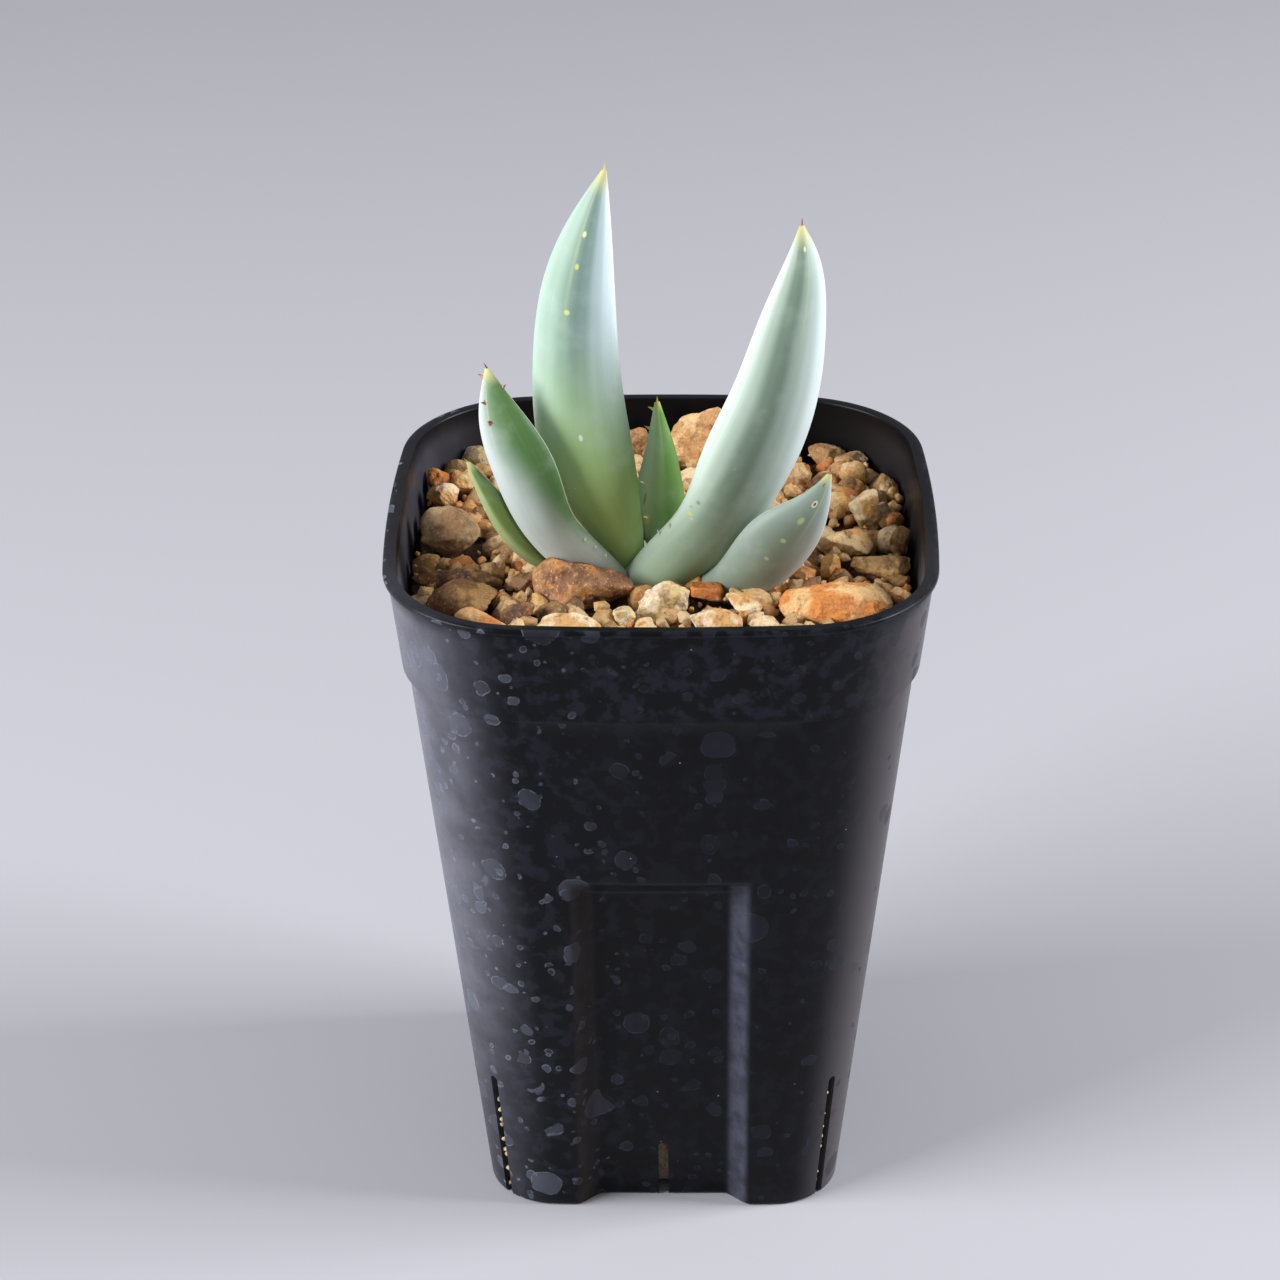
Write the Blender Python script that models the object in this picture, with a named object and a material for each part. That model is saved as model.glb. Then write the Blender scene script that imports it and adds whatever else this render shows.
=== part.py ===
"""A young aloe in a deep square nursery pot filled with grit.

The pot stands on its base with its centre at the origin. +Z is up and -Y is the side toward the viewer.
Every length in this file is in millimetres, and MM turns it into metres when a mesh is made.
"""

import math

import bmesh
import bpy
import numpy as np

MM = 0.001
GAP = 0.3  # air left between pieces that touch
WELD = 0.0005  # points nearer than this are one

# Pot: a rounded square whose sides bow outward a little
POT_HEIGHT = 100.0
LIP_HALF = 37.5  # half the width across the lip
LIP_CORNER = 19.2
LIP_HEIGHT = 0.8
LIP_EDGE = ((0.15, 0.1), (0.4, 0.0), (LIP_HEIGHT, 0.25))  # height on the lip, how far it is set back there
COLLAR_TOP_HALF = 36.9
COLLAR_BOTTOM_HALF = 35.4
COLLAR_CORNER = 18.6
COLLAR_BOTTOM = 85.4  # height of the step under the collar
STEP_HEIGHT = 0.4
BODY_TOP_HALF = 34.7
BODY_TOP_CORNER = 18.4
BASE_HALF = 25.5
BASE_CORNER = 9.4
BASE_EDGE = 0.6
SIDE_ARC = 300.0  # radius of the bow of each side
WALL = 1.2
FLOOR = 1.2
RECESS_DEPTH = 3.0
RECESS_TOP = 58.5
RECESS_EDGE = (12.0, 12.4)  # half width at the base and at the top of the recess
RECESS_FLAT = (9.0, 9.5)  # half width of its flat at the base and at the top
WALL_SHIFT = math.tan(math.radians(22.5))  # how far a 45 degree corner moves per mm of wall
SLIT_WIDTH = 1.4
SLIT_HEIGHT = 9.9
SLIT_INNER = 14.0  # the slit goes on in the base from here outward
SLIT_TOP_ANGLES = (0, 45, 90, 135, 180)
CORNER_SLIT_WIDTH = 1.3
CORNER_SLIT_HEIGHT = 21.8
CORNER_SLIT_INNER = 24.5
CORNER_POINTS = 7
BOW_FALL = 0.5  # how far the bow of a side has fallen back at its ends
SPLIT_ABOVE = 0.5  # a face of a skin that is bent by more than this is split into two on purpose

# Grit
BED_TOP = 91.7
BED_SEED = 11
GRAIN_SPACING = 5.1
GRAIN_HALF = (2.1, 2.9)
GRAIN_FLATTEN = 0.85
GRAIN_RISE = 0.5  # centre of a grain above the top of the bed
GRAIN_JITTER = (0.8, 0.3)  # sideways and up or down
GRAIN_MOVE = 1.5  # a grain that the wall would push farther than this is left out
GRAIN_MARGIN = 0.9  # grains keep this far from the outline of a larger stone
ROW_STEP = 0.866  # rows of a triangular grid, as a share of the spacing
GRAIN_CLEAR = (-3.0, -6.5, 6.0)  # x, y and radius of the round patch where the leaves rise

# Stem and the plain hole that it stands in
AXIS = (-2.2, -4.6)
STEM_RINGS = ((75.0, 0.7), (79.0, 1.3), (82.0, 2.0), (85.5, 2.6), (87.6, 2.3), (88.5, 1.4))  # height, radius
ROOT_START = 84.0
ROOT_LENGTH = 11.5
ROOT_RADIUS = 0.7
ROOT_LEAN = 4.0
ROOT_SPREAD = 1.1
ROOT_RINGS = ((0.0, 1.0), (0.6, 0.8), (1.0, 0.4))  # share of the length, share of the radius
ROOT_ANGLES = (45, 135, 225, 315)
ROOT_SIDES = 6
STEM_SIDES = 12
HOLE_SIDES = 16
HOLE_BOTTOM = 71.5
HOLE_TOP = BED_TOP + 8.0  # above the highest grain
HOLE_RADIUS = (3.1, 3.4)  # at the bottom and at the top

# Leaves: stations are (x, y, z, width) from the root to the tip. A spine is (share of the way to the tip,
# angle round the section, length), and its root is sunk in the leaf.
SPINE_RADIUS = 0.36
SPINE_SINK = 0.45
SPINE_LEAN = (0.85, 0.55)  # outward and toward the tip
SPINE_SIDES = 5
TIP_SPINE_FROM = 0.99  # from this share on a spine is a tip spine
TIP_SPINE_SINK = 1.3
TIP_SPINE_LEAN = (0.3, 1.0)
SPINE_RINGS = 101  # the leaf's points among which a spine finds its place
SPINE_STEPS = 72
LEAF_RINGS = 15
LEAF_SIDES = 14
LEAF_LEAST_HALF = 0.3
KEEL = 0.62  # swell of the underside, as a share of the half width
HOLLOW = 0.14  # swell of the upper face
HOLLOW_POWER = 0.7  # below 1 makes the upper face flat with rounded edges
THICK_AT_ROOT = 0.45  # share of the full swell at the root
THICK_FROM = 0.35  # share of the way from which the swell is full
TIP_CURL = 0.25  # half angle of the crescent near the tip
CURL_UNTIL = 0.6  # share of the way at which the crescent has opened to that
LEAVES = {
    "leaf_young_centre": {
        "facing": 15,
        "curl": 1.1,
        "stations": (
            (-1.9, -4.4, 90.6, 5.0),
            (-0.4, -4.3, 93.4, 6.8),
            (-0.2, -3.8, 100.2, 7.7),
            (-0.1, -3.2, 107.9, 5.1),
            (-0.5, -2.5, 116.6, 0.7),
        ),
        "spines": ((1.0, 90, 0.9), (0.96, 180, 0.8), (0.86, 180, 0.8), (0.58, 142, 0.7), (0.4, 122, 0.7)),
    },
    "leaf_tall_left": {
        "facing": -25,
        "curl": 1.3,
        "stations": (
            (-3.6, -5.4, 89.5, 6.0),
            (-6.4, -6.4, 98.3, 8.6),
            (-9.4, -7.7, 108.0, 12.7),
            (-11.1, -8.4, 123.1, 12.7),
            (-10.5, -8.2, 136.4, 9.9),
            (-8.4, -7.1, 146.3, 4.4),
            (-7.1, -6.0, 150.8, 0.7),
        ),
        "spines": ((1.0, 210, 1.1),),
    },
    "leaf_tall_right": {
        "facing": 25,
        "curl": 1.1,
        "stations": (
            (-1.2, -8.2, 89.7, 11.4),
            (1.3, -8.6, 93.2, 11.6),
            (6.6, -8.8, 100.1, 11.2),
            (11.9, -9.9, 111.8, 13.5),
            (15.4, -10.8, 122.3, 12.4),
            (17.5, -10.6, 132.4, 9.3),
            (18.6, -9.2, 140.7, 4.1),
            (18.4, -8.0, 143.9, 0.7),
        ),
        "spines": ((1.0, 90, 1.0), (0.18, 150, 0.8), (0.15, 155, 0.8), (0.1, 165, 0.8)),
    },
    "leaf_mid_left": {
        "facing": -42,
        "curl": 1.1,
        "stations": (
            (-5.0, -7.0, 88.0, 8.0),
            (-9.9, -8.5, 94.6, 8.6),
            (-15.6, -10.4, 103.2, 10.0),
            (-18.3, -11.4, 111.7, 11.2),
            (-20.9, -11.5, 118.6, 8.0),
            (-22.7, -11.0, 125.3, 0.7),
        ),
        "spines": (
            (1.0, 90, 0.9),
            (0.97, 145, 0.8),
            (0.9, 95, 0.7),
            (0.84, 85, 0.7),
            (0.94, 0, 0.7),
            (0.34, 25, 0.6),
            (0.28, 25, 0.6),
            (0.23, 25, 0.6),
        ),
    },
    "leaf_low_right": {
        "facing": 24,
        "curl": 1.0,
        "stations": (
            (1.8, -7.6, 87.5, 8.0),
            (9.8, -9.9, 92.4, 8.2),
            (17.2, -11.9, 102.2, 10.0),
            (20.9, -13.2, 107.6, 4.0),
            (22.4, -13.0, 110.8, 0.7),
        ),
        "spines": ((1.0, 210, 1.1),),
    },
    "leaf_low_left": {
        "facing": -40,
        "curl": 1.0,
        "stations": (
            (-6.2, -6.3, 87.0, 6.0),
            (-11.0, -6.4, 92.4, 6.0),
            (-18.1, -7.0, 98.0, 6.3),
            (-22.3, -7.6, 104.0, 4.6),
            (-25.8, -8.0, 110.3, 0.7),
        ),
        "spines": ((1.0, 90, 0.8), (0.9, 180, 0.6), (0.79, 180, 0.6)),
    },
}

# Stones: a stone is a ball cut by random planes at these distances, with its corners worn
STONE_CUTS = 12
STONE_CUT_DISTANCES = (0.72, 1.0)
STONE_WEAR = 12  # higher leaves sharper corners
STONE_LEAST_CUT = 1e-3  # keeps the radius finite where no plane lies
STONE_REACH = 1.35  # the farthest that a corner may stand out
STONE_ROOM = 1.3 * GAP  # air between a stone and its socket in the bed, larger where the two are cut apart

# Stones seen in the photo: x, y, z of the centre, half sizes along x, y, z, turn in degrees, material
STONE_SEED = 5
STONES = {
    "tan_left": (-30.1, 2.4, 94.2, 4.9, 3.6, 4.0, 0, "tan_stone"),
    "orange_far_left": (-32.4, 20.8, 93.7, 1.9, 1.7, 2.3, 0, "orange_stone"),
    "cream_left": (-30.9, 15.7, 93.6, 2.6, 2.3, 2.0, 0, "cream_stone"),
    "ochre_left": (-28.3, 19.5, 93.8, 2.1, 1.9, 2.5, 0, "ochre_stone"),
    "grey_back_left": (-28.7, 31.7, 93.6, 2.8, 2.2, 2.0, 0, "grey_stone"),
    "flat_long_left": (-26.9, -9.3, 93.5, 7.2, 2.3, 1.8, -8, "brown_stone"),
    "olive_left": (-27.2, -16.9, 93.8, 5.3, 3.7, 2.7, 0, "olive_stone"),
    "orange_front_left": (-24.0, -22.8, 93.6, 4.1, 2.3, 2.1, -12, "orange_stone"),
    "brown_mid_left": (-18.9, -20.3, 93.7, 2.5, 2.2, 2.4, 0, "brown_stone"),
    "brown_small_left": (-17.8, -10.1, 93.5, 2.4, 2.2, 1.6, 0, "brown_stone"),
    "brown_front": (-10.8, -12.9, 94.2, 7.0, 4.3, 4.0, 0, "brown_stone"),
    "grey_square_front": (0.4, -17.7, 94.1, 3.7, 3.0, 3.6, 0, "grey_stone"),
    "orange_small_front": (6.1, -13.2, 93.4, 2.4, 1.9, 1.3, 0, "orange_stone"),
    "cream_front_left": (-12.3, -23.9, 93.7, 5.0, 3.2, 2.2, 0, "cream_stone"),
    "cream_front_right": (6.9, -22.8, 93.7, 4.0, 2.8, 2.4, 0, "cream_stone"),
    "cream_small_front": (11.5, -16.9, 93.6, 2.8, 2.5, 1.9, 0, "cream_stone"),
    "cream_low_right": (14.2, -23.6, 93.4, 2.6, 2.1, 1.4, 0, "cream_stone"),
    "grey_small_front": (-4.7, -20.7, 93.5, 1.7, 1.6, 1.5, 0, "grey_stone"),
    "orange_big_right": (23.2, -18.4, 94.1, 7.6, 4.7, 3.5, 0, "orange_stone"),
    "flat_oval_right": (30.2, -6.2, 93.6, 4.5, 2.7, 2.0, 5, "olive_stone"),
    "amber_upright_right": (23.2, -6.3, 93.7, 1.6, 1.4, 2.2, 0, "ochre_stone"),
    "rusty_right": (19.5, -7.8, 93.4, 2.3, 2.1, 1.4, 0, "orange_stone"),
    "orange_crumbly_right": (25.4, 0.4, 93.7, 3.9, 2.7, 2.2, 0, "ochre_stone"),
    "cream_orange_right": (28.5, 10.4, 94.1, 2.4, 2.1, 3.5, 0, "cream_stone"),
    "ochre_right": (25.0, 13.0, 93.7, 1.9, 1.7, 2.2, 0, "ochre_stone"),
    "white_orange_back_right": (26.9, 22.6, 93.7, 2.6, 2.3, 2.4, 0, "cream_stone"),
    "tan_back_right": (30.5, 31.4, 93.4, 2.8, 2.3, 1.3, 0, "tan_stone"),
    "pink_back": (24.0, 31.5, 93.5, 3.2, 2.6, 1.8, 0, "tan_stone"),
    "peach_behind_leaf": (19.0, 20.9, 94.1, 2.9, 2.3, 3.6, 0, "tan_stone"),
    "olive_far_right": (33.0, 1.2, 93.7, 1.5, 1.7, 2.3, 0, "olive_stone"),
    "tan_back_left": (-3.7, 32.8, 93.9, 2.6, 1.7, 2.7, 0, "tan_stone"),
    "big_back": (6.7, 30.6, 95.2, 5.6, 3.9, 6.3, 0, "tan_stone"),
}

# Colour, roughness
MATERIALS = {
    "pot_plastic": ((0.012, 0.012, 0.015), 0.42),
    "grit": ((0.36, 0.22, 0.11), 0.9),
    "stem_tissue": ((0.45, 0.52, 0.28), 0.6),
    "leaf_blue": ((0.42, 0.56, 0.47), 0.5),
    "leaf_green": ((0.20, 0.36, 0.14), 0.5),
    "tan_stone": ((0.50, 0.36, 0.22), 0.9),
    "cream_stone": ((0.66, 0.52, 0.36), 0.9),
    "orange_stone": ((0.56, 0.23, 0.08), 0.9),
    "ochre_stone": ((0.52, 0.32, 0.12), 0.9),
    "brown_stone": ((0.22, 0.12, 0.06), 0.9),
    "grey_stone": ((0.42, 0.36, 0.27), 0.9),
    "olive_stone": ((0.34, 0.29, 0.17), 0.9),
}
GREEN_LEAVES = ("leaf_young_centre", "leaf_low_left")
POT_CREASE = 30  # edges sharper than this many degrees stay sharp
PLANT_CREASE = 50


def clear_scene():
    for obj in list(bpy.data.objects):
        bpy.data.objects.remove(obj)
    for collection in list(bpy.data.collections):
        bpy.data.collections.remove(collection)


def new_collection(name):
    collection = bpy.data.collections.new(name)
    bpy.context.scene.collection.children.link(collection)
    return collection


def make_materials():
    made = {}
    for name, (colour, roughness) in MATERIALS.items():
        material = bpy.data.materials.new(name)
        material.use_nodes = True
        shader = material.node_tree.nodes["Principled BSDF"]
        shader.inputs["Base Color"].default_value = (*colour, 1.0)
        shader.inputs["Roughness"].default_value = roughness
        shader.inputs["Metallic"].default_value = 0.0
        material.diffuse_color = (*colour, 1.0)
        made[name] = material
    return made


def add_mesh(name, points, faces, collection, material=None):
    """An object from points in millimetres and faces as lists of point numbers, all faces turned outward."""
    mesh = bpy.data.meshes.new(name)
    mesh.from_pydata((np.asarray(points, float) * MM).tolist(), [], [list(face) for face in faces])
    work = bmesh.new()
    work.from_mesh(mesh)
    bmesh.ops.recalc_face_normals(work, faces=work.faces)
    work.to_mesh(mesh)
    work.free()
    obj = bpy.data.objects.new(name, mesh)
    collection.objects.link(obj)
    if material is not None:
        mesh.materials.append(material)
    return obj


def boolean(target, other, operation, solver="EXACT"):
    """Cuts `other` out of the target or joins it on, then drops `other`."""
    modifier = target.modifiers.new(operation.lower(), "BOOLEAN")
    modifier.operation = operation
    modifier.solver = solver
    modifier.object = other
    bpy.context.view_layer.update()
    graph = bpy.context.evaluated_depsgraph_get()
    result = bpy.data.meshes.new_from_object(target.evaluated_get(graph))
    target.modifiers.clear()
    old = target.data
    target.data = result
    result.name = target.name
    bpy.data.meshes.remove(old)
    bpy.data.objects.remove(other)


def keep_largest(obj):
    """Drops every loose scrap that a cut has left, then welds points that fall together."""
    work = bmesh.new()
    work.from_mesh(obj.data)
    groups = loose_groups(work)
    largest = max(groups, key=lambda group: volume_of({f for v in group for f in v.link_faces}))
    scraps = [vert for group in groups if group is not largest for vert in group]
    bmesh.ops.delete(work, geom=scraps, context="VERTS")
    bmesh.ops.remove_doubles(work, verts=work.verts, dist=WELD * MM)
    bmesh.ops.dissolve_degenerate(work, dist=WELD / 2 * MM, edges=work.edges)
    bmesh.ops.triangulate(work, faces=work.faces)
    work.to_mesh(obj.data)
    work.free()


def loose_groups(work):
    """Sets of points that hang together along edges."""
    groups = []
    seen = set()
    for start in work.verts:
        if start in seen:
            continue
        group = {start}
        open_verts = [start]
        while open_verts:
            for edge in open_verts.pop().link_edges:
                for vert in edge.verts:
                    if vert not in group:
                        group.add(vert)
                        open_verts.append(vert)
        seen |= group
        groups.append(group)
    return groups


def volume_of(faces):
    """Volume inside flat faces: each is taken as a fan of triangles round its first corner."""
    total = 0.0
    for face in faces:
        first, *others = (vert.co for vert in face.verts)
        for one, other in zip(others, others[1:]):
            total += first.dot(one.cross(other)) / 6
    return total


def loft(rings, crescent=False):
    """Points and faces of a skin over rings of equal length, each end closed by a fan round its centre.

    The ends of a crescent are closed from side to side instead, because its centre can lie outside it. A
    face that isn't flat, as at the corners of a recess, is split where the split lies nearer the Z axis.
    """
    count = len(rings[0])
    points = [point for ring in rings for point in ring]
    faces = []
    for level in range(len(rings) - 1):
        low = level * count
        for i in range(count):
            j = (i + 1) % count
            a, b, c, d = low + i, low + j, low + count + j, low + count + i
            one = np.hypot(points[a][0] + points[c][0], points[a][1] + points[c][1]) / 2
            other = np.hypot(points[b][0] + points[d][0], points[b][1] + points[d][1]) / 2
            if abs(one - other) < SPLIT_ABOVE:
                faces.append((a, b, c, d))
            elif one < other:
                faces += [(a, b, c), (a, c, d)]
            else:
                faces += [(a, b, d), (b, c, d)]
    for low, ring in ((0, rings[0]), ((len(rings) - 1) * count, rings[-1])):
        if crescent:
            middle, last = low + count // 2, low + count
            faces += [(low, low + 1, last - 1), (middle - 1, middle, middle + 1)]
            faces += [(low + i, low + i + 1, last - i - 1, last - i) for i in range(1, count // 2 - 1)]
            continue
        centre = len(points)
        points.append(np.mean(ring, axis=0))
        faces += [(low + i, low + (i + 1) % count, centre) for i in range(count)]
    return points, faces


# Pot


def outline(z, half, corner, recess=0.0, grow=0.0):
    """One level of the pot: a rounded square, counterclockwise, with the middle of each side pushed in by
    `recess`. `grow` is how far this skin lies inside the outer one."""
    k = half - SIDE_ARC
    reach = SIDE_ARC - corner
    c = (k + math.sqrt(2 * reach * reach - k * k)) / 2
    turn = math.atan2(c, c - k)
    share = min(z / RECESS_TOP, 1.0)
    edge = RECESS_EDGE[0] + (RECESS_EDGE[1] - RECESS_EDGE[0]) * share + grow * WALL_SHIFT
    flat = RECESS_FLAT[0] + (RECESS_FLAT[1] - RECESS_FLAT[0]) * share + grow * WALL_SHIFT
    quarter = []
    for y in (-edge, -flat, 0.0, flat, edge):
        x = k + math.sqrt(SIDE_ARC * SIDE_ARC - y * y)
        quarter.append((x - (recess if abs(y) <= flat else 0.0), y))
    for angle in np.linspace(turn, math.pi / 2 - turn, CORNER_POINTS):
        quarter.append((c + corner * math.cos(angle), c + corner * math.sin(angle)))
    ring = []
    for cos, sin in ((1, 0), (0, 1), (-1, 0), (0, -1)):
        ring += [(x * cos - y * sin, x * sin + y * cos, z) for x, y in quarter]
    return ring


def body_size(z):
    share = z / COLLAR_BOTTOM
    half = BASE_HALF + (BODY_TOP_HALF - BASE_HALF) * share
    return half, BASE_CORNER + (BODY_TOP_CORNER - BASE_CORNER) * share


def collar_size(z):
    share = (z - COLLAR_BOTTOM) / (POT_HEIGHT - LIP_HEIGHT - COLLAR_BOTTOM)
    return COLLAR_BOTTOM_HALF + (COLLAR_TOP_HALF - COLLAR_BOTTOM_HALF) * share, COLLAR_CORNER


def body_ring(z, inset, recess):
    half, corner = body_size(z)
    return outline(z, half - inset, corner - inset, recess, inset)


def collar_ring(z, inset):
    half, corner = collar_size(z)
    return outline(z, half - inset, corner - inset, 0.0, inset)


def inside_rings(inset, bottom, top):
    """The levels of a skin `inset` inside the pot's outer one, from `bottom` up to `top`."""
    ceiling = inset * WALL_SHIFT
    rings = [
        body_ring(bottom, inset, RECESS_DEPTH),
        body_ring(RECESS_TOP - RECESS_DEPTH + ceiling, inset, RECESS_DEPTH),
        body_ring(RECESS_TOP + ceiling, inset, 0.0),
        body_ring(COLLAR_BOTTOM - STEP_HEIGHT, inset, 0.0),
        collar_ring(COLLAR_BOTTOM, inset),
        collar_ring(top, inset),
    ]
    return rings


def make_pot(collection, cutters, material):
    lip_bottom = POT_HEIGHT - LIP_HEIGHT
    half, corner = body_size(0.0)
    outer = [
        outline(0.0, half - BASE_EDGE, corner - BASE_EDGE, RECESS_DEPTH),
        body_ring(BASE_EDGE, 0.0, RECESS_DEPTH),
        body_ring(RECESS_TOP - RECESS_DEPTH, 0.0, RECESS_DEPTH),
        body_ring(RECESS_TOP, 0.0, 0.0),
        body_ring(COLLAR_BOTTOM - STEP_HEIGHT, 0.0, 0.0),
        collar_ring(COLLAR_BOTTOM, 0.0),
        collar_ring(lip_bottom, 0.0),
    ]
    outer += [outline(lip_bottom + up, LIP_HALF - back, LIP_CORNER - back) for up, back in LIP_EDGE]
    inner = inside_rings(WALL, FLOOR, POT_HEIGHT)
    points, faces = loft(outer + inner[::-1])
    pot = add_mesh("pot", points, faces, collection, material)
    for side in range(4):
        turn = math.radians(90 * side)
        slit = slit_cutter(SLIT_WIDTH, SLIT_HEIGHT, SLIT_INNER, turn, cutters)
        boolean(pot, slit, "DIFFERENCE")
        turn += math.pi / 4
        slit = slit_cutter(CORNER_SLIT_WIDTH, CORNER_SLIT_HEIGHT, CORNER_SLIT_INNER, turn, cutters)
        boolean(pot, slit, "DIFFERENCE")
    keep_largest(pot)
    return pot


def slit_cutter(width, height, inner, turn, cutters):
    """A flat bar with a round top that stands on edge and points outward at the angle `turn`."""
    half = width / 2
    profile = [(-half, -1.0), (half, -1.0)]
    for angle in np.radians(SLIT_TOP_ANGLES):
        profile.append((half * math.cos(angle), height - half + half * math.sin(angle)))
    rings = []
    for distance in (inner, inner + 2 * LIP_HALF):
        ring = []
        for across, z in profile:
            x = distance * math.cos(turn) - across * math.sin(turn)
            y = distance * math.sin(turn) + across * math.cos(turn)
            ring.append((x, y, z))
        rings.append(ring)
    points, faces = loft(rings)
    cutter = add_mesh("slit", points, faces, cutters)
    cutter.hide_render = True
    cutter.display_type = "WIRE"
    return cutter


def keep_inside(points, inset):
    """Pulls points back until they lie `inset` inside the pot's outer skin."""
    points = np.array(points, float)
    half = COLLAR_BOTTOM_HALF + (COLLAR_TOP_HALF - COLLAR_BOTTOM_HALF) * (
        (points[:, 2] - COLLAR_BOTTOM) / (POT_HEIGHT - LIP_HEIGHT - COLLAR_BOTTOM)
    )
    corner = COLLAR_CORNER - inset
    straight = half - inset - corner - BOW_FALL
    past = np.abs(points[:, :2]) - straight[:, None]
    reach = np.maximum(past, 0.0)
    length = np.hypot(reach[:, 0], reach[:, 1])
    scale = np.where(length > corner, corner / np.maximum(length, 1e-9), 1.0)
    held = np.sign(points[:, :2]) * (straight[:, None] + reach * scale[:, None])
    points[:, :2] = np.where(past > 0, held, points[:, :2])
    return points


# Leaves


def smooth(x):
    x = np.clip(x, 0.0, 1.0)
    return x * x * (3 - 2 * x)


def spline(rows, count):
    """A natural cubic spline through the rows, by chord length: values, slopes and share of the way."""
    rows = np.asarray(rows, float)
    size = len(rows)
    steps = np.linalg.norm(np.diff(rows[:, :3], axis=0), axis=1)
    knots = np.concatenate(([0.0], np.cumsum(steps)))
    system = np.eye(size)
    right = np.zeros((size, rows.shape[1]))
    for i in range(1, size - 1):
        system[i, i - 1 : i + 2] = steps[i - 1], 2 * (steps[i - 1] + steps[i]), steps[i]
        right[i] = 6 * ((rows[i + 1] - rows[i]) / steps[i] - (rows[i] - rows[i - 1]) / steps[i - 1])
    bend = np.linalg.solve(system, right)
    at = np.linspace(0.0, knots[-1], count)
    j = np.clip(np.searchsorted(knots, at, side="right") - 1, 0, size - 2)
    step = steps[j][:, None]
    a = (knots[j + 1] - at)[:, None] / step
    b = 1 - a
    values = a * rows[j] + b * rows[j + 1] + ((a**3 - a) * bend[j] + (b**3 - b) * bend[j + 1]) * step**2 / 6
    slopes = (rows[j + 1] - rows[j]) / step
    slopes += ((3 * b * b - 1) * bend[j + 1] - (3 * a * a - 1) * bend[j]) * step / 6
    return values, slopes, at / knots[-1]


def leaf_surface(leaf, along, around, grow=0.0):
    """Rings of a leaf: a crescent section, keeled below and nearly flat above, carried along the spline.

    The section is bent round a half angle that is wide where the leaf clasps the stem and small near the
    tip. The centre line and its direction are given back too.
    """
    values, slopes, share = spline(leaf["stations"], along)
    centre = values[:, :3]
    half = np.maximum(values[:, 3] / 2, LEAF_LEAST_HALF) + grow
    forward = slopes[:, :3] / np.linalg.norm(slopes[:, :3], axis=1)[:, None]
    facing = math.radians(leaf["facing"])
    front = np.array([math.sin(facing), -math.cos(facing), 0.0])
    under = front - (forward @ front)[:, None] * forward
    under /= np.linalg.norm(under, axis=1)[:, None]
    side = np.cross(forward, under)
    curl = TIP_CURL + (leaf["curl"] - TIP_CURL) * (1 - smooth(share / CURL_UNTIL))
    radius = half / curl
    angle = np.linspace(0.0, 2 * math.pi, around, endpoint=False)
    across = np.cos(angle)
    rise = np.round(np.sin(angle), 9)
    thick = half * (THICK_AT_ROOT + (1 - THICK_AT_ROOT) * smooth(share / THICK_FROM))
    below = np.where(rise > 0, rise * KEEL, 0.0)
    above = np.where(rise < 0, np.abs(rise) ** HOLLOW_POWER * HOLLOW, 0.0)
    lift = below - above
    lift = lift[None, :] * thick[:, None] + np.sign(rise)[None, :] * grow
    bent = across[None, :] * curl[:, None]
    skin = centre[:, None, :] + (radius[:, None] * np.sin(bent))[..., None] * side[:, None, :]
    skin = skin + (radius[:, None] * (np.cos(bent) - 1))[..., None] * under[:, None, :]
    outward = np.cos(bent)[..., None] * under[:, None, :] + np.sin(bent)[..., None] * side[:, None, :]
    skin = skin + lift[..., None] * outward
    return skin, centre, forward


def spine_cone(leaf, share, turn, length, grow):
    """Points and faces of one spine: a slim cone that leans toward the tip."""
    skin, centre, forward = leaf_surface(leaf, SPINE_RINGS, SPINE_STEPS)
    ring = round(share * (SPINE_RINGS - 1))
    root = skin[ring, round(turn / 360 * SPINE_STEPS) % SPINE_STEPS]
    out = root - centre[ring]
    out /= np.linalg.norm(out)
    tip = share > TIP_SPINE_FROM
    outward, onward = TIP_SPINE_LEAN if tip else SPINE_LEAN
    lean = outward * out + onward * forward[ring]
    lean /= np.linalg.norm(lean)
    foot = centre[ring] if tip else root
    start = foot - lean * (TIP_SPINE_SINK if tip else SPINE_SINK)
    side = np.cross(lean, (0.0, 1.0, 0.0))
    side /= np.linalg.norm(side)
    rise = np.cross(lean, side)
    points = [start - lean * grow, foot + lean * (length + 2 * grow)]
    for angle in np.linspace(0, 2 * math.pi, SPINE_SIDES, endpoint=False):
        points.append(start + (SPINE_RADIUS + grow) * (math.cos(angle) * side + math.sin(angle) * rise))
    faces = []
    for i in range(SPINE_SIDES):
        j = (i + 1) % SPINE_SIDES
        faces += [(0, i + 2, j + 2), (1, j + 2, i + 2)]
    return points, faces


def make_leaf(name, leaf, collection, material, grow=0.0):
    """The whole leaf with its spines. `grow` swells it for cutting room out of what lies round it."""
    skin, _, forward = leaf_surface(leaf, LEAF_RINGS, LEAF_SIDES, grow)
    skin[0] -= forward[0] * grow
    skin[-1] += forward[-1] * grow
    points, faces = loft(list(skin), crescent=True)
    obj = add_mesh(name, points, faces, collection, material)
    for spine in leaf["spines"]:
        points, faces = spine_cone(leaf, *spine, grow)
        boolean(obj, add_mesh("spine", points, faces, collection), "UNION", "MANIFOLD")
    return obj


# Stones


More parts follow.
